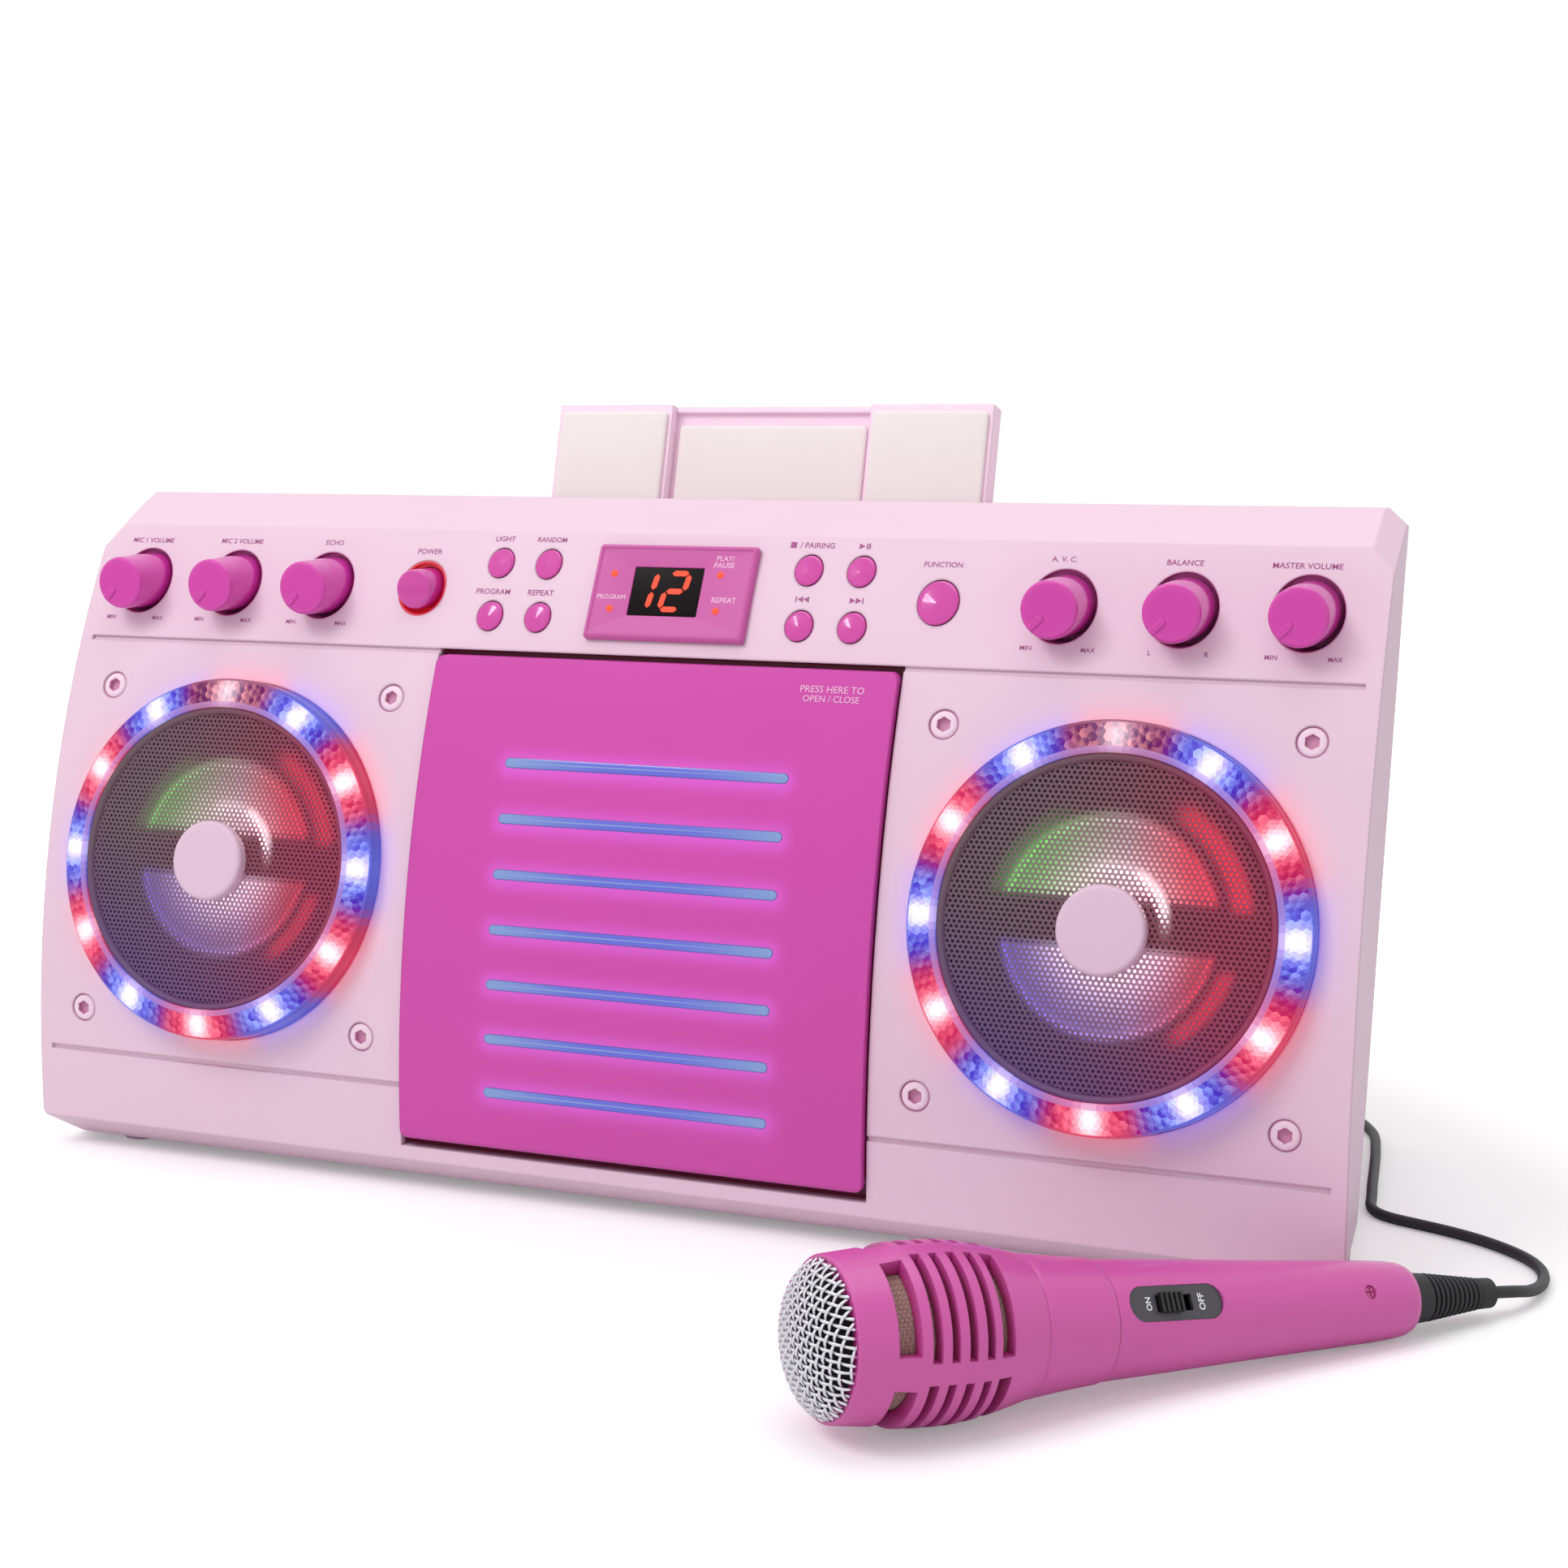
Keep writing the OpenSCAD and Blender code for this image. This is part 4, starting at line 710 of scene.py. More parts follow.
# Painted shade: the socket and the head's side down to the recess are darker.
darker = (ring_of >= SOCKET_FROM) | (ring_of < HEAD_FROM)
paint(screws, "screw_colour_and_shade", np.where(darker[:, None], rgb(212, 146, 182), rgb(240, 212, 228)))
screw_finish = moulded("screw_paint", srgb(238, 212, 226), 0.32, edge=0)
grain_colour(screw_finish, "screw_colour_and_shade")
dress(screws, screw_finish)
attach(screws, "console")
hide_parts("hex_screws")


# The disc door: a curved magenta moulding, hinged at its lower edge, with seven clear light bars let into its face.
# Blue-violet lamps behind the bars edge-light them, and each bar throws a soft violet glow on the door.
DOOR_MAGENTA = srgb(203, 68, 166)
BAR_LOW = 38.5
BAR_STEP = 17.75
BAR_HALF = 50.0
BAR_WIDE = 2.5
BAR_RIM = 0.45
BAR_COUNT = 7
GLOW_HALF = 48.5  # how far to each side a bar's glow keeps its full strength


def bar_glow():
    """Node group: how near a point lies to the closest bar. Height is folded by the bar step, and past a bar's end the
    distance counts sideways too; the glow falls off as a squared bell."""
    group, _, put = new_group("bar_glow", {}, {"Glow": "Float"})
    step, axes = math_steps(group), object_axes(group)
    order = step("DIVIDE", step("SUBTRACT", axes["Z"], BAR_LOW / 1000.0), BAR_STEP / 1000.0)
    nearest = step("MINIMUM", step("MAXIMUM", step("ROUND", order), 0.0), BAR_COUNT - 1.0)
    high = step("MULTIPLY", step("SUBTRACT", order, nearest), BAR_STEP)
    beside = step("ABSOLUTE", step("SUBTRACT", axes["X"], SET_MIDDLE[0] / 1000.0))
    past_end = step("MAXIMUM", step("SUBTRACT", beside, GLOW_HALF / 1000.0), 0.0)
    away = sum_of_squares(step, high, step("MULTIPLY", past_end, 1000.0))
    group.links.new(step("EXPONENT", step("DIVIDE", away, -17.0)), put.inputs["Glow"])
    return group


door_finish = moulded("door_plastic", DOOR_MAGENTA, 0.38, edge=0.001, Emission_Strength=0.3)
tree = door_finish.node_tree
halo = add_node(tree, "Mix", data_type="RGBA", A=(0, 0, 0, 1), B=srgb(176, 108, 246))
wire(tree, (add_node(tree, "Group", node_tree=bar_glow()), "Glow", halo, "Factor"),
     (halo, "Result", tree.nodes["Principled BSDF"], "Emission Color"))
dress(node["disc_door"], door_finish)


def stacked(rings, foot=False):
    """Points and faces of outlines laid one above the other; the last one is filled, and with foot the first too."""
    count = len(rings[0])
    faces = [*grid_faces(len(rings), count), (len(rings) - 1) * count + np.arange(count)]
    if foot:
        faces.append(np.arange(count)[::-1])
    return np.vstack(rings), faces


def light_bar(z):
    """A round-ended bar with a thin rim that covers its seat and a low crown: rings of a stadium outline, drawn in as
    the crown rises. The outline has ten steps along each straight side."""
    q = np.linspace(-np.pi / 2, np.pi / 2, 11)
    run = np.linspace(1, -1, 11)[1:-1]
    side_x = np.concatenate([np.ones(11), run, -np.ones(11), -run]) * (BAR_HALF - BAR_WIDE / 2)
    a = np.concatenate([q, np.full(9, np.pi / 2), q + np.pi, np.full(9, -np.pi / 2)])
    steps = ((1.25, 0.3), (1.25, 2.05), (1.25 + BAR_RIM, 2.1), (1.23 + BAR_RIM, 2.24), (1.3, 2.34), (0.9, 2.42),
             (0.3, 2.45))
    rings = [np.stack([side_x + r * np.cos(a), r * np.sin(a), np.full(40, high)], 1) for r, high in steps]
    points, faces = stacked(rings)
    return on_face(points, 0.0, z), faces


points, faces = joined(*[light_bar(BAR_LOW + BAR_STEP * k) for k in range(BAR_COUNT)])
bars = mesh_object("door_bars", points, faces, sharp=50)
ring_of = np.tile(np.repeat(np.arange(7), 40), BAR_COUNT)
along = np.abs(points[:, 0] * 1000.0 - SET_MIDDLE[0]) / BAR_HALF
middle_blue, end_blue, edge_blue = rgb(92, 96, 205), rgb(120, 146, 200), rgb(62, 66, 140)
tone = middle_blue + (end_blue - middle_blue) * np.clip(along * 1.5 - 0.4, 0, 1)[:, None] ** 1.5
paint(bars, "bar_light", np.where((ring_of <= 3)[:, None], edge_blue, tone))
dress(bars, attribute_light("bar_lit", 0.25, "bar_light", 0.64, 0.45, 0.4))
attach(bars, "door")
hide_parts("door_light_bars")


# Behind the door: the grey well that takes the disc, its turntable, spindle motor, laser sled and rails, and the pins.
# They are moulded ABS, turned steel and black acetal, all plain from the tool. A little red lamplight in the well is
# painted on the tray as a faint red glow.
dress(node["disc_tray"], moulded("tray_plastic", srgb(92, 80, 92), 0.5, grain=1500.0, depth=0.02,
                                 Emission_Color=(1, 0.03, 0.16, 1), Emission_Strength=0.03))
dress(node["turntable"], moulded("turntable_acetal", srgb(30, 30, 33), 0.35, edge=0.0004))
dress(node["laser_sled"], moulded("sled_plastic", srgb(38, 38, 44), 0.4, edge=0.0004))


def brushed(name, colour, roughness, turn_scale):
    """Machined metal: noise drawn out along X streaks its roughness and tone a little."""
    material = new_material(name, colour, roughness, Metallic=1.0)
    tree = material.node_tree
    shader, place = tree.nodes["Principled BSDF"], add_node(tree, "TexCoord")
    spread = add_node(tree, "Mapping", Scale=(turn_scale * 0.06, turn_scale, turn_scale))
    streak = add_node(tree, "TexNoise", Scale=1.0)
    rough = add_node(tree, "MapRange", To_Min=roughness * 0.7, To_Max=roughness * 1.4)
    tone = add_node(tree, "Mix", data_type="RGBA", A=tuple(0.8 * c for c in colour[:3]) + (1.0,), B=colour)
    wire(tree, (place, "Object", spread, "Vector"), (spread, "Vector", streak, "Vector"),
         (streak, "Fac", rough, "Value"), (streak, "Fac", tone, "Factor"), (rough, "Result", shader, "Roughness"),
         (tone, "Result", shader, "Base Color"))
    return material


steel = brushed("bright_steel", srgb(196, 196, 200), 0.3, 2500.0)
for name in ("sled_rails", "hinge_pins", "spindle_motor"):
    dress(node[name], steel)

# Behind the grilles: pressed steel baskets, paper cones and the rings of lamp boards; behind the controls, the boards.
dress(node["speaker_frame_left"], moulded("basket_paint", srgb(52, 52, 58), 0.5, grain=1200.0, edge=0.0005))
dress(node["speaker_frame_right"], node["speaker_frame_left"].data.materials[0])
dress(node["speaker_cones"], moulded("cone_paper", srgb(46, 44, 48), 0.85, grain=900.0, depth=0.05, variation=0.2,
                                     edge=0))
dress(node["lamp_boards"], moulded("lamp_board_lacquer", srgb(226, 226, 220), 0.4, edge=0))
dress(node["rotary_controls"], moulded("control_metal", srgb(120, 120, 126), 0.35, edge=0.0004, Metallic=0.8))
dress(node["circuit_boards"], moulded("board_lacquer", srgb(20, 104, 60), 0.35, grain=500.0, variation=0.35, edge=0))


# Six control knobs: glossy magenta ABS caps pushed on the shafts of the rotary controls behind the panel. Each is a
# tapered round cap with a raised bar on its flat front, and points to its lowest setting.
CONTROL_Z = RECESS_Z
KNOB_X = {"mic_1": -209.4, "mic_2": -171.6, "echo": -133.8, "level": 131.4, "balance": 169.2, "master": 207.0}
KNOB_PINK = srgb(210, 52, 167)
KNOB_HIGH = 15.3
KNOB_RADIUS = 9.1
KNOB_ROUND = 1.3
POINTER_TURN = math.radians(225)


def at_control(points, x, z):
    """Turns points drawn with their third axis forwards to look straight out of the console at x and z on the face."""
    p = np.asarray(points, float)
    return (np.stack([p[:, 0] + x, face_depth(z) - p[:, 2], p[:, 1] + z], 1) + SET_MIDDLE) / 1000.0


def spun(points, angle):
    """Turns points round the third axis."""
    c, s = math.cos(angle), math.sin(angle)
    return np.stack([c * points[:, 0] - s * points[:, 1], s * points[:, 0] + c * points[:, 1], points[:, 2]], 1)


def knob_solid():
    """The cap is a turned profile whose rim is a quarter round. The pointer is a round-ended bar: stadium outlines
    drawn in as they rise, so that its edges are round too."""
    side = [(3.0, -19.0), (3.0, -7.7), (9.5, -7.7), (9.6, -7.3), (KNOB_RADIUS + 0.3, 4.0)]
    top = [(6.6, KNOB_HIGH), (4.0, KNOB_HIGH), (0.02, KNOB_HIGH)]
    cap = turned(side + rounded_edge(KNOB_RADIUS, KNOB_HIGH, KNOB_ROUND) + top, 96)
    a = np.linspace(0, 2 * np.pi, 32, endpoint=False)
    middle = np.where(np.cos(a) >= 0, 7.3, 3.9)
    rings = [np.stack([middle + (1.25 - d) * np.cos(a), (1.25 - d) * np.sin(a), np.full(32, KNOB_HIGH + h)], 1)
             for d, h in ((0, -0.4), (0, 0.1), (0.12, 0.36), (0.4, 0.5), (0.8, 0.5), (1.2, 0.5))]
    bar, faces = stacked(rings)
    return joined(cap, (spun(bar, POINTER_TURN), faces))


GLOSS = dict(grain=1500.0, variation=0.04, edge=0)
knob_finish = moulded("knob_plastic", KNOB_PINK, 0.24, depth=0.006, Coat_Weight=0.5, Coat_Roughness=0.08, **GLOSS)
knob_points, knob_faces = knob_solid()
for word, x in KNOB_X.items():
    knob = mesh_object(word + "_cap", at_control(knob_points, x, CONTROL_Z), knob_faces, sharp=40)
    dress(knob, knob_finish)
    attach(knob, word + "_control")
    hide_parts(word + "_knob")


# Eight small push buttons and the function button: glossy magenta caps that move straight in. Each cap is cut along
# the leaning face and rises to a shallow cone, so it follows the panel.
SMALL_RADIUS = 4.7
FUNCTION_RADIUS = 6.75
CAP_SLOPE = 0.13
SMALL_KEYS = {"light": (-66.7, 209.4), "random": (-48.6, 209.4), "program": (-66.7, 192.1), "repeat": (-48.6, 192.1),
              "stop": (45.6, 209.4), "play": (63.7, 209.4), "back": (45.6, 192.1), "forward": (63.7, 192.1)}


def leaning_cap(radius, x, z):
    """A turned cap whose front is laid over to the face: height = (cone - up times sine of the lean) / cosine."""
    lean = math.asin((z - FACE_UPRIGHT) / FACE_RADIUS)
    cone = lambda r: 0.75 + CAP_SLOPE * (radius - 0.5 - r)
    profile = [(radius, -8.0), (radius, 0.2), (radius - 0.05, 0.42), (radius - 0.2, 0.62), (radius - 0.5, 0.75)]
    profile += [(r, cone(r)) for r in (radius * 0.75, radius * 0.5, radius * 0.25)] + [(0.02, cone(0.3))]
    points, faces = turned(profile, 64)
    front = np.repeat(np.arange(len(profile)), 64) > 0
    laid = (points[:, 2] - points[:, 1] * math.sin(lean)) / math.cos(lean)
    points[:, 2] = np.where(front, laid, points[:, 2])
    return at_control(points, x, z), faces


button_finish = moulded("button_plastic", srgb(204, 50, 158), 0.2, depth=0.005, Coat_Weight=0.7, Coat_Roughness=0.05,
                        **GLOSS)
for word, (x, z) in list(SMALL_KEYS.items()) + [("function", (91.2, CONTROL_Z))]:
    points, faces = leaning_cap(FUNCTION_RADIUS if word == "function" else SMALL_RADIUS, x, z)
    key = mesh_object(word + "_key_cap", points, faces)
    dress(key, button_finish)
    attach(key, word + "_key")
    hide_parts(word + "_button")

# The power button stands out level from a red lit cup: a glossy cap, and a clear red cup with a lamp behind it.
POWER_X = -95.1
POWER_PROFILE = ((6.7, -9.0), (6.7, 5.0), (6.62, 5.5), (6.4, 5.9), (6.0, 6.15), (5.4, 6.25), (4.0, 6.45), (2.0, 6.56),
                 (0.02, 6.6))
points, faces = turned(POWER_PROFILE, 80)
power = mesh_object("power_key_cap", at_control(points, POWER_X, CONTROL_Z), faces)
dress(power, button_finish)
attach(power, "power_key")
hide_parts("power_button")
dress(node["power_ring"], moulded("lit_cup", srgb(196, 22, 52), 0.3, edge=0, Emission_Color=srgb(255, 20, 50),
                                  Emission_Strength=0.16))


# The display: a magenta plate with a raised rim and a sunken field, a dark red window over a two-digit lamp display,
# and four orange indicator lamps. It is one moulding snapped into the panel, parallel to the leaning face.
DISPLAY_AT = (-0.9, 200.75)
PLATE = (57.4, 33.7)
FIELD_HIGH = 2.1
WINDOW = (25.0, 17.4)
WINDOW_AT = (-1.7, 0.1)
LAMPS_AT = ((-21.4, 6.1), (16.8, 6.4), (-20.7, -6.4), (17.4, -6.3))
DIGIT_UP = 0.4


def rounded_box(wide, high, radius, steps=6):
    """Outline of a rectangle with round corners: four quarter circles, counted anticlockwise."""
    q = np.linspace(0, np.pi / 2, steps)
    turn = (q[None] + np.pi / 2 * np.arange(4)[:, None]).ravel()
    cx = np.repeat([1, -1, -1, 1], steps) * (wide / 2 - radius)
    cy = np.repeat([1, 1, -1, -1], steps) * (high / 2 - radius)
    return np.stack([cx + radius * np.cos(turn), cy + radius * np.sin(turn)], 1)


def stepped_plate():
    """Rounded outlines drawn in step by step from the foot over the rim into the sunken field, then the window's
    mouth."""
    steps = [(0, 0.0, 1.2), (0, 1.5, 1.2), (0.25, 2.0, 1.1), (0.8, 2.5, 0.9), (1.0, 2.6, 0.9), (1.3, 2.6, 0.8),
             (1.6, 2.45, 0.7), (1.8, 2.12, 0.6), (2.0, FIELD_HIGH, 0.6)]
    rings = [np.column_stack([rounded_box(PLATE[0] - 2 * d, PLATE[1] - 2 * d, r), np.full(24, h)]) for d, h, r in steps]
    for grow, h in ((0.25, FIELD_HIGH), (0.08, 2.06), (0.0, 1.95), (0.0, 0.2)):
        mouth = rounded_box(WINDOW[0] + 2 * grow, WINDOW[1] + 2 * grow, 0.4 + grow) + WINDOW_AT
        rings.append(np.column_stack([mouth, np.full(24, h)]))
    return np.vstack(rings), grid_faces(len(rings), 24)


points, faces = stepped_plate()
plate = mesh_object("display_surround", on_face(points, *DISPLAY_AT), faces, sharp=50)
dress(plate, moulded("display_plastic", srgb(197, 86, 160), 0.34, grain=1500.0, edge=0))
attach(plate, "console")
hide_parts("display_plate")

dress(node["display_window"], moulded("window_acrylic", srgb(14, 4, 7), 0.12, grain=400.0, depth=0.002, variation=0.3,
                                      edge=0, Specular_IOR_Level=0.06))


def segment(x0, y0, x1, y1, half, slant=0.16):
    """A lit segment: a six-cornered bar from one point to another with pointed ends, the digit sheared by slant."""
    p, q = np.array([x0, y0]), np.array([x1, y1])
    u = (q - p) / np.linalg.norm(q - p)
    v = np.array([-u[1], u[0]]) * half
    corners = np.array([p, p + u * half + v, q - u * half + v, q, q - u * half - v, p + u * half - v])
    corners[:, 0] += slant * corners[:, 1]
    flat = np.vstack([np.column_stack([corners, np.full(6, high)]) for high in (1.62, 1.78)])
    walls = [(k, (k + 1) % 6, (k + 1) % 6 + 6, k + 6) for k in range(6)]
    return flat, [(5, 4, 3, 2, 1, 0), (6, 7, 8, 9, 10, 11)] + walls


def digit(lit, x, size=6.4):
    """A seven-segment digit: each named segment runs between two of the six corners of two stacked boxes."""
    w, g = 6.8, 0.4
    ends = {"top": ((g, size), (w - g, size)), "middle": ((g, 0), (w - g, 0)), "bottom": ((g, -size), (w - g, -size)),
            "upper_left": ((0, size - g), (0, g)), "upper_right": ((w, size - g), (w, g)),
            "lower_left": ((0, -g), (0, g - size)), "lower_right": ((w, -g), (w, g - size))}
    return [segment(x + a[0], a[1], x + b[0], b[1], 0.95) for name, (a, b) in ends.items() if name in lit]


one = digit(("upper_right", "lower_right"), -13.4)
two = digit(("top", "upper_right", "middle", "lower_left", "bottom"), -2.0)
points, faces = joined(*one, *two)
lit_digits = mesh_object("display_digits", on_face(points + [0, DIGIT_UP, 0], *DISPLAY_AT), faces, False)
dress(lit_digits, moulded("digit_light", srgb(120, 20, 10), 0.4, edge=0, Emission_Color=srgb(255, 72, 34),
                          Emission_Strength=1.0))
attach(lit_digits, "console")

# The indicator lamps: four clear domes, each a half ellipse turned over a short post.
q = np.linspace(0, np.pi / 2, 6)
dome_edge = [(1.2 * math.cos(t), 2.2 + 0.45 * math.sin(t)) for t in q[1:-1]]
lamp_points, lamp_faces = turned([(1.2, 0.6), (1.2, 2.2), *dome_edge, (0.02, 2.65)], 32)
points, faces = joined(*[(on_face(lamp_points + [x, y, 0], *DISPLAY_AT), lamp_faces) for x, y in LAMPS_AT])
lamps = mesh_object("indicator_domes", points, faces)
dress(lamps, moulded("indicator_light", srgb(200, 50, 30), 0.25, grain=900.0, edge=0, Emission_Color=srgb(255, 84, 44),
                     Emission_Strength=0.75))
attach(lamps, "console")
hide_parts("indicator_lamps")


# The tablet cradle: a pink plate that folds up out of the top on a steel pin, with two thicker wings.
# Three cream foam pads are glued to its front so that a tablet neither slips nor scratches.
CRADLE_AT = (0.0, 118.0, 222.5)
CRADLE_LEAN = math.radians(15.4)
# Each pad: its middle across, its width and height, and how far back its glued face lies.
PADS = {"left": (-60.5, 42.2, 33.8, -5.0), "right": (60.5, 42.2, 33.8, -5.0), "middle": (0.0, 72.0, 30.0, 0.0)}
PAD_FOOT = 4.0
PAD_THICK = 2.0


def at_cradle(points):
    """Leans points drawn across, backwards and up the plate back with the cradle."""
    p = np.asarray(points, float)
    c, s = math.cos(CRADLE_LEAN), math.sin(CRADLE_LEAN)
    leant = np.stack([p[:, 0], p[:, 1] * c + p[:, 2] * s, p[:, 2] * c - p[:, 1] * s], 1)
    return (leant + CRADLE_AT + SET_MIDDLE) / 1000.0


def foam_pad(x, wide, high, back):
    """Rounded outlines drawn in from the glued back, round the soft edge, to a front that swells a little in the
    middle."""
    steps = [(0.45, 0.0), (0.1, 0.25), (0.0, 0.9), (0.12, 1.4), (0.5, 1.72), (1.2, 1.86), (4.0, 1.93), (9.0, 1.97),
             (14.0, PAD_THICK)]
    flat, faces = stacked([np.column_stack([rounded_box(wide - 2 * d, high - 2 * d, max(1.6 - 0.1 * d, 0.3), 8),
                                            np.full(32, t)]) for d, t in steps], True)
    return np.stack([x + flat[:, 0], back - flat[:, 2], PAD_FOOT + high / 2 + flat[:, 1]], 1), faces


dress(node["cradle"], moulded("cradle_plastic", srgb(252, 222, 240), 0.4, edge=0.0009))
foam = moulded("pad_foam", srgb(238, 230, 228), 0.9, grain=700.0, depth=0.06, variation=0.05, edge=0)
for word, (x, wide, high, back) in PADS.items():
    points, faces = foam_pad(x, wide, high, back)
    pad = mesh_object("foam_pad_" + word, at_cradle(points), faces)
    dress(pad, foam)
    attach(pad, "cradle_frame")
    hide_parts("cradle_pads")

# What stands and closes the console: soft pink rubber feet, the rear connection plate and the sunk cabinet screws.
dress(node["feet"], moulded("foot_rubber", srgb(214, 178, 198), 0.7, grain=900.0, depth=0.04, edge=0.0005))
dress(node["rear_jacks"], moulded("jack_plastic", srgb(30, 30, 33), 0.42, grain=1500.0, edge=0.0004))
dress(node["cabinet_screws"], steel)
dress(node["mic_plug"], moulded("plug_metal", srgb(176, 176, 182), 0.28, grain=1200.0, edge=0.0004, Metallic=0.9))


# The microphone lies on the table on its cage and tail, its switch turned up towards the front. Its head is a dome
# of woven steel wire pressed into a slotted pink cage; a band joins the cage to the long tapered handle.
MIC_ROLL = math.radians(270 - 33)
MIC_PINK = srgb(208, 84, 165)
CAGE_SHADE = srgb(168, 22, 108)
CAGE_SKIN = ((21.2, 8.8), (21.5, 9.6), (21.9, 14), (22.5, 20), (23.5, 27), (23.75, 34), CAGE_REST[::-1], (22.6, 50),
             (21, 57.5), (19.25, 64.4))
CAGE_WALL, CAGE_BORE = 4.2, 14.8  # the wall's thickness, and the least radius inside it
# Each slot: from and to which distance from the tip it runs, and the half angle that it takes in each quarter turn.
SLOTS = ((19.4, 25.4, 33.4), (28.3, 31, 37.7), (33.6, 35.9, 37.7), (38.6, 41, 37.7), (43.8, 46.2, 37.7),
         (48.5, 52.5, 37.7))
SLOTS_TURN = -5.5
BAND_SKIN = ((19.2, 64.5), (17.75, 76), (16.6, 87.2))
DOME_RADIUS = 20.3
DOME_HIGH = 9.7
WEAVE_PITCH, WIRE_RADIUS, WEAVE_RISE = 2.15, 0.5, 0.42
MIC_POSE = Matrix.Rotation(math.pi / 2 + MIC_DROOP, 3, "Y") @ Matrix.Rotation(MIC_ROLL, 3, "Z")


def at_mic(points):
    """Lays points drawn round the microphone's axis, from tip to tail, where the microphone lies."""
    pose = Matrix.Rotation(MIC_TURN, 3, "Z") @ MIC_POSE
    return (np.asarray(points, float) @ np.array(pose).T + MIC_TIP + SET_MIDDLE) / 1000.0


def woven_dome():
    """Wires along and across a square mesh that is laid over a half ellipsoid. Each wire is a six-sided tube whose
    centre rises and sinks by nearly its radius at every crossing, as a sine along it, in turn with its neighbours."""
    solids = []
    count = int((DOME_RADIUS - 0.9) / WEAVE_PITCH)
    upright = math.atan2(MIC_POSE[2][1], MIC_POSE[2][0])
    for family in (0, 1):
        for k in range(-count, count + 1):
            fixed = k * WEAVE_PITCH
            reach = math.sqrt((DOME_RADIUS - 0.35) ** 2 - fixed**2)
            t = np.linspace(-reach, reach, max(int(reach / WEAVE_PITCH * 8), 12))
            rise = WEAVE_RISE * np.cos(np.pi * (t / WEAVE_PITCH + k + family))
            u, v = (t, np.full_like(t, fixed)) if family == 0 else (np.full_like(t, fixed), t)
            r = np.hypot(u, v) / DOME_RADIUS
            s = DOME_HIGH * (1 - np.sqrt(np.clip(1 - r**2, 0, 1)))
            normal = unit(np.stack([u / DOME_RADIUS**2, v / DOME_RADIUS**2, (s - DOME_HIGH) / DOME_HIGH**2], 1))
            path = np.stack([u, v, s + 0.95], 1) + normal * rise[:, None]
            along = unit(np.gradient(path, axis=0))
            side = unit(np.cross(along, normal))
            up = np.cross(side, along)
            wire_points, wire_faces = pipe(*(spun(part, upright) for part in (path, side, up)), WIRE_RADIUS, 6)
            solids.append((wire_points, [face[::-1] for face in wire_faces]))
    return joined(*solids)


points, faces = woven_dome()
dome = mesh_object("woven_dome", at_mic(points), faces)
dress(dome, brushed("dome_wire", srgb(232, 232, 238), 0.24, 3000.0))
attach(dome, "microphone")
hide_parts("mic_grille")

# Under the dome lies a dark foam liner: a half ellipsoid a little smaller than the dome.
LINER_RADIUS, LINER_AT, LINER_END = DOME_RADIUS - 1.7, 2.3, 16.0
bend = np.linspace(0, np.pi / 2, 12)[1:]
liner = [(LINER_RADIUS * math.sin(t), LINER_AT + (DOME_HIGH - 0.6) * (1 - math.cos(t))) for t in bend]
points, faces = turned([(0.02, LINER_AT)] + liner + [(LINER_RADIUS, LINER_END)], 64)
foam_liner = mesh_object("dome_foam", at_mic(points), faces)
dress(foam_liner, moulded("dome_foam_dark", srgb(26, 24, 28), 0.95, grain=500.0, depth=0.2, variation=0.3, edge=0))
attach(foam_liner, "microphone")


def smooth_profile(points, steps=6):
    """The given profile points joined by one smooth curve, as on the lead, with steps points from each to the next."""
    return smooth_route(np.column_stack([np.array(points, float), np.zeros(len(points))]), steps)[:, :2]


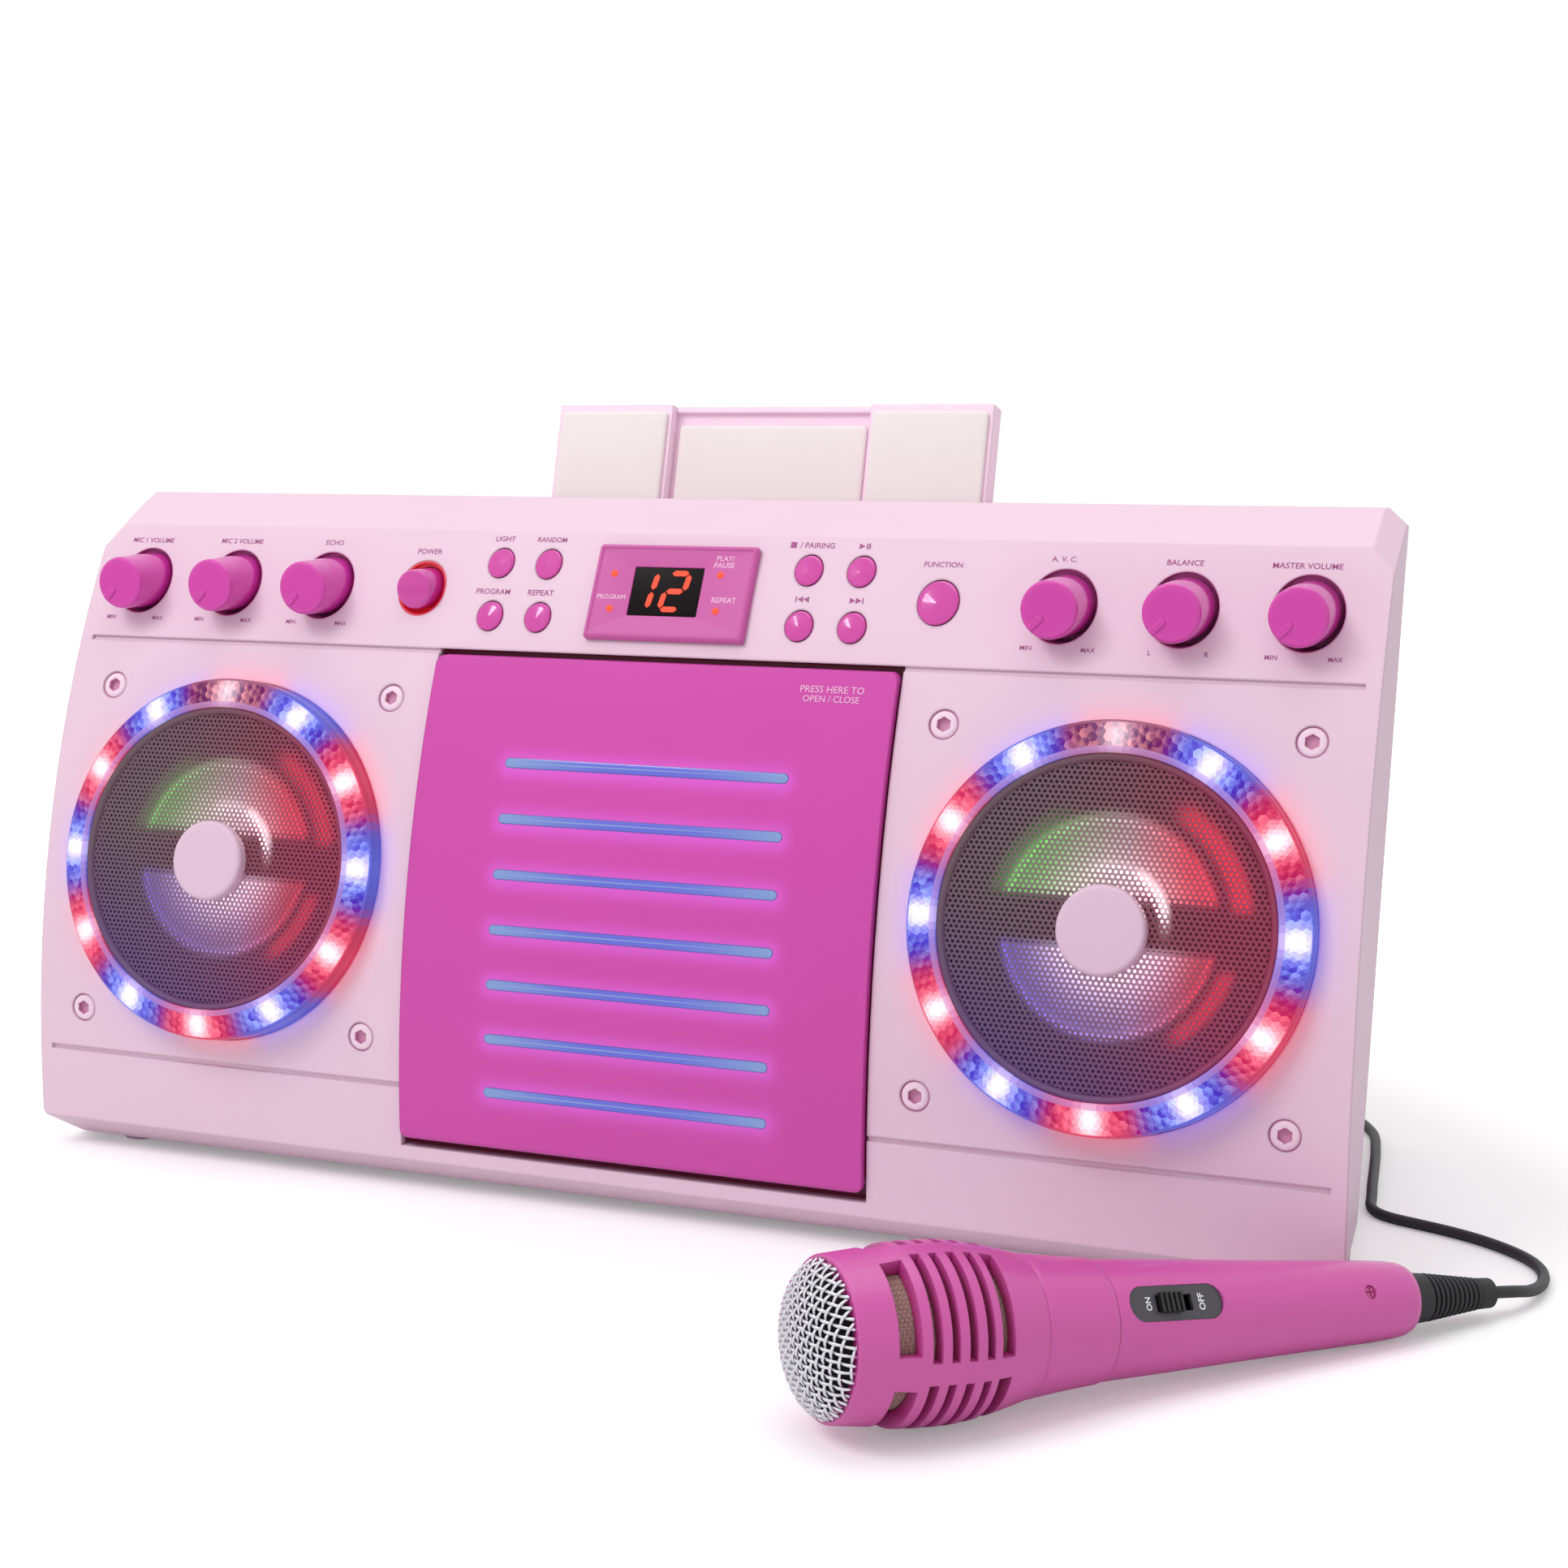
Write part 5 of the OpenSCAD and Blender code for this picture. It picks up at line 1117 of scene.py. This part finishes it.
def slotted_cage():
    """The cage as a grid of distance by angle whose lines fall on every slot's edges. Cells inside a slot are left out
    of the outer and inner skins, and a wall closes each edge between a kept cell and a slot."""
    profile = smooth_profile(CAGE_SKIN)
    edges = sorted({round(e, 3) for slot in SLOTS for e in slot[:2]})
    s = np.array(sorted(set(np.round(profile[:, 1], 3)) | set(edges)))
    s = s[np.concatenate([[True], np.diff(s) > 0.06])]
    outer = np.interp(s, profile[:, 1], profile[:, 0])
    inner = np.maximum(outer - CAGE_WALL, CAGE_BORE)
    slot_ends = [sign * slot[2] for slot in SLOTS for sign in (-1, 1)]
    quarter = np.unique(np.round(np.concatenate([np.linspace(-45, 45, 19)[:-1], slot_ends]), 3))
    angle = np.radians((quarter[None] + 90 * np.arange(4)[:, None]).ravel() + SLOTS_TURN)
    rows, columns = len(s), len(angle)
    middle_s = (s[:-1] + s[1:]) / 2
    local = np.tile((quarter + np.roll(quarter, -1)) / 2, 4)
    local[len(quarter) - 1::len(quarter)] = 45.0
    kept = np.ones((rows - 1, columns), bool)
    for low, high, half in SLOTS:
        kept &= ~(((middle_s > low) & (middle_s < high))[:, None] & (np.abs(local) < half)[None])
    along = np.broadcast_to(s[:, None], (rows, columns))
    skins = [np.stack([r[:, None] * np.cos(angle), r[:, None] * np.sin(angle), along], -1).reshape(-1, 3)
             for r in (outer, inner)]
    n = rows * columns
    i, j = np.nonzero(kept)
    a, b = i * columns + j, i * columns + (j + 1) % columns
    out_faces = np.stack([a, b, b + columns, a + columns], 1)
    faces = [out_faces, out_faces[:, ::-1] + n]
    change = np.diff(np.pad(kept.astype(int), ((1, 1), (0, 0))), axis=0)
    for side in (1, -1):
        i, j = np.nonzero(change == side)
        a, b = i * columns + j, i * columns + (j + 1) % columns
        faces.append(np.stack([a, a + n, b + n, b], 1)[:, ::side])
    for side in (1, -1):
        i, j = np.nonzero(kept & ~np.roll(kept, side, axis=1))
        a = i * columns + (j if side == 1 else (j + 1) % columns)
        faces.append(np.stack([a, a + columns, a + columns + n, a + n], 1)[:, ::side])
    return np.vstack(skins), np.vstack(faces)


LACQUER = dict(grain=1500.0, depth=0.006, variation=0.03, edge=0.0005, Coat_Weight=0.25, Coat_Roughness=0.15)
mic_finish, cage_finish = (moulded(name, MIC_PINK, 0.36, **LACQUER) for name in ("mic_lacquer", "cage_lacquer"))
grain_colour(cage_finish, "cage_colour_and_shade")
points, faces = slotted_cage()
cage = mesh_object("slotted_cage", at_mic(points), faces, sharp=40)
# The inner skin is painted a deeper magenta, so that the slot walls darken inwards as painted shade.
paint(cage, "cage_colour_and_shade", np.repeat([MIC_PINK, CAGE_SHADE], len(points) // 2, axis=0))
dress(cage, cage_finish)
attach(cage, "microphone")
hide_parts("mic_cage")

band_profile = [(14.0, 64.5), (18.9, 64.5), *smooth_profile(BAND_SKIN, 8)[1:-1], (16.35, 87.2), (14.0, 87.2)]
points, faces = turned(band_profile, 96, True)
band = mesh_object("head_band", at_mic(points), faces[:, ::-1], sharp=40)
dress(band, mic_finish)
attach(band, "microphone")
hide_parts("mic_band")
dress(node["mic_handle"], mic_finish)

# Inside the head: a beige woven screen behind the slots, and the black sound capsule on its post.
screen = new_material("screen_cloth", srgb(176, 140, 134), 0.85)
tree = screen.node_tree
weave = add_node(tree, "TexVoronoi", Scale=1100.0, Randomness=0.15)
tone = add_node(tree, "Mix", data_type="RGBA", A=srgb(196, 164, 154), B=srgb(112, 72, 76))
wire(tree, (add_node(tree, "TexCoord"), "Object", weave, "Vector"), (weave, "Distance", tone, "Factor"),
     (tone, "Result", tree.nodes["Principled BSDF"], "Base Color"))
dress(node["mic_screen"], screen)
dress(node["mic_capsule"], moulded("capsule_plastic", srgb(24, 24, 26), 0.5, edge=0))

# The slide switch on the handle: a sunk dark plate and a ribbed black slider; and the ribbed black strain relief at
# the tail.
dress(node["mic_switch_plate"], moulded("switch_plate_plastic", srgb(68, 66, 72), 0.4, edge=0.0003))
dress(node["mic_switch"], moulded("slider_plastic", srgb(20, 20, 22), 0.35, edge=0.0002))
dress(node["mic_strain_relief"], moulded("relief_rubber", srgb(24, 24, 27), 0.55, edge=0.0003))


# The printed marks: control names and symbols pad-printed in a soft magenta on the casing, and in pale pink on the
# display and the door. Ink is flat, so each mark is a flat mesh a hair above its surface.
MARK_HIGH = 0.06
DOOR_SKIN = 2.15  # how far the door stands out of the panel's face
PANEL_WORDS = (("MIC 1 VOLUME", -210.4, 214.5, 17.5), ("MIC 2 VOLUME", -172.5, 214.8, 17.4),
               ("ECHO", -134.2, 215.0, 7.1), ("A. V. C.", 130.0, 214.7, 8.2), ("BALANCE", 168.1, 214.4, 11.4),
               ("MASTER VOLUME", 205.3, 214.2, 21.0), ("MIN", -220.0, 187.6, 3.7), ("MAX", -200.2, 187.7, 4.5),
               ("MIN", -182.6, 187.8, 3.7), ("MAX", -163.0, 187.9, 4.5), ("MIN", -144.5, 188.0, 3.7),
               ("MAX", -124.3, 188.0, 4.5), ("MIN", 121.7, 187.9, 3.7), ("MAX", 141.5, 187.8, 4.5),
               ("L", 160.6, 187.7, 0.95), ("R", 178.2, 187.7, 1.3), ("MIN", 197.5, 187.6, 3.7),
               ("MAX", 216.6, 187.6, 4.3), ("POWER", -95.3, 212.7, 9.6), ("LIGHT", -67.2, 217.4, 7.4),
               ("RANDOM", -49.4, 217.4, 11.0), ("PROGRAM", -67.4, 200.1, 12.9), ("REPEAT", -49.3, 200.1, 9.7),
               ("/ PAIRING", 46.9, 217.3, 12.0), ("FUNCTION", 90.8, 212.2, 12.8))
PLATE_WORDS = (("PROGRAM", -21.0, -2.2, 10.4), ("PLAY/", 17.7, 12.3, 6.3), ("PAUSE", 17.6, 9.9, 7.2),
               ("REPEAT", 19.7, -2.4, 8.7))
DOOR_WORDS = (("PRESS HERE TO", 61.2, 172.5, 21.5), ("OPEN / CLOSE", 61.2, 169.6, 19.0))


def word_shape(text, wide, bold=0.012):
    """A word's flat letters as points and faces, its width scaled to wide and its middle at the origin."""
    curve = bpy.data.curves.new("word", "FONT")
    curve.body = text
    curve.resolution_u = 3
    curve.offset = bold
    source = bpy.data.objects.new("word", curve)
    bpy.context.scene.collection.objects.link(source)
    bpy.context.view_layer.update()
    mesh = bpy.data.meshes.new_from_object(source)
    points = np.empty(len(mesh.vertices) * 3)
    mesh.vertices.foreach_get("co", points)
    points = points.reshape(-1, 3)
    faces = [tuple(p.vertices) for p in mesh.polygons]
    bpy.data.objects.remove(source)
    bpy.data.curves.remove(curve)
    bpy.data.meshes.remove(mesh)
    low, high = points.min(0), points.max(0)
    scale = wide / (high[0] - low[0])
    return (points - (low + high) / 2) * [scale, scale, 0], faces


def triangle(x, wide, high):
    """A flat triangle that points along its width, to the right or, where wide is below zero, to the left."""
    points = np.array([(x, -high / 2, 0), (x + wide, 0, 0), (x, high / 2, 0)])
    return points, [(0, 1, 2) if wide > 0 else (2, 1, 0)]


def block(x, wide, high):
    """A flat upright bar that starts at x."""
    points = np.array([(x, -high / 2, 0), (x + wide, -high / 2, 0), (x + wide, high / 2, 0), (x, high / 2, 0)])
    return points, [(0, 1, 2, 3)]


def on_panel(shape, x, z, high=MARK_HIGH):
    """A flat shape laid on the face at x and z."""
    points, faces = shape
    return on_face(points + [0, 0, high], x, z), faces


def ink(name, colour, variation=0.1):
    """Flat pad-printed ink."""
    return moulded(name, colour, 0.5, grain=900.0, depth=0.001, variation=variation, edge=0)


# The symbols over the keys, each with its place on the panel: stop, play and pause, back, forward.
PANEL_SYMBOLS = ((38.6, 217.3, (block(-1.05, 2.1, 2.1),)),
                 (63.3, 217.3, (triangle(-1.9, 2.0, 2.1), block(0.55, 0.5, 2.1), block(1.4, 0.5, 2.1))),
                 (45.2, 200.4, (block(-2.4, 0.4, 2.1), triangle(0.2, -2.0, 2.1), triangle(2.3, -2.0, 2.1))),
                 (63.7, 200.4, (triangle(-2.3, 2.0, 2.1), triangle(-0.2, 2.0, 2.1), block(2.0, 0.4, 2.1))))
panel_ink = [on_panel(word_shape(t, w), x, z) for t, x, z, w in PANEL_WORDS]
panel_ink += [on_panel(shape, x, z) for x, z, shapes in PANEL_SYMBOLS for shape in shapes]
points, faces = joined(*panel_ink)
panel_marks = mesh_object("panel_marks", points, faces, False)
dress(panel_marks, ink("ink_magenta", srgb(166, 84, 138), 0.12))
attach(panel_marks, "console")

plate_ink = [word_shape(t, w) + ((x, y),) for t, x, y, w in PLATE_WORDS]
points, faces = joined(*[(on_face(p + [*at, FIELD_HIGH + MARK_HIGH], *DISPLAY_AT), f) for p, f, at in plate_ink])
plate_marks = mesh_object("display_marks", points, faces, False)
ink_pale = ink("ink_pale", srgb(240, 190, 222))
dress(plate_marks, ink_pale)
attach(plate_marks, "console")

points, faces = joined(*[on_panel(word_shape(t, w, 0.0), x, z, DOOR_SKIN + MARK_HIGH) for t, x, z, w in DOOR_WORDS])
door_marks = mesh_object("door_marks", points, faces, False)
dress(door_marks, ink_pale)
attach(door_marks, "door")


# The small parts on the microphone's skin: ON and OFF printed in white on the switch plate, read across the handle,
# and the painted cross-head screw sunk in the hole near the tail that holds the two halves of the handle.
# A spot on the skin: its distance from the tip, the skin's radius there, and its slope in degrees.
PLATE_SPOT = (106.3, 13.7, 3.2)
SCREW_SPOT = (172.0, 11.7, 2.9)
SWITCH_SKIN = 0.76
SWITCH_WORDS = (("ON", 8.9, 3.6), ("OFF", -8.3, 4.6))


def on_mic(points, s, radius, slope):
    """Stands points drawn flat, their first axis towards the head and their third outwards, on the skin at the distance
    s from the tip, where the skin has this radius and slopes in by slope degrees."""
    p = np.asarray(points, float)
    c, t = math.cos(math.radians(slope)), math.sin(math.radians(slope))
    return at_mic(np.stack([radius + p[:, 0] * t + p[:, 2] * c, p[:, 1], s - p[:, 0] * c + p[:, 2] * t], 1))


switch_ink = []
for text, x, wide in SWITCH_WORDS:
    points, faces = word_shape(text, wide, 0.02)
    across = np.column_stack([x + points[:, 1], -points[:, 0], np.full(len(points), SWITCH_SKIN)])
    switch_ink.append((on_mic(across, *PLATE_SPOT), faces))
points, faces = joined(*switch_ink)
switch_marks = mesh_object("switch_marks", points, faces, False)
dress(switch_marks, ink("ink_white", srgb(236, 236, 240)))
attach(switch_marks, "microphone")

points, faces = turned([(1.8, -3.0), (1.8, -0.8), (1.6, -0.5), (1.0, -0.42), (0.02, -0.4)], 32)
tail_screw = mesh_object("tail_screw", on_mic(points, *SCREW_SPOT), faces)
dress(tail_screw, moulded("screw_magenta", srgb(206, 84, 150), 0.35, edge=0))
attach(tail_screw, "microphone")
# The cross in the head is a flat dark mark, painted shade where the real cross is sunk.
cross = ((block(-1.3, 2.6, 0.5), -0.37), (block(-0.25, 0.5, 2.6), -0.36))
points, faces = joined(*[(p + [0, 0, high], f) for (p, f), high in cross])
screw_cross = mesh_object("tail_screw_cross", on_mic(points, *SCREW_SPOT), faces, False)
dress(screw_cross, moulded("cross_shade", srgb(132, 24, 84), 0.6, edge=0))
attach(screw_cross, "microphone")
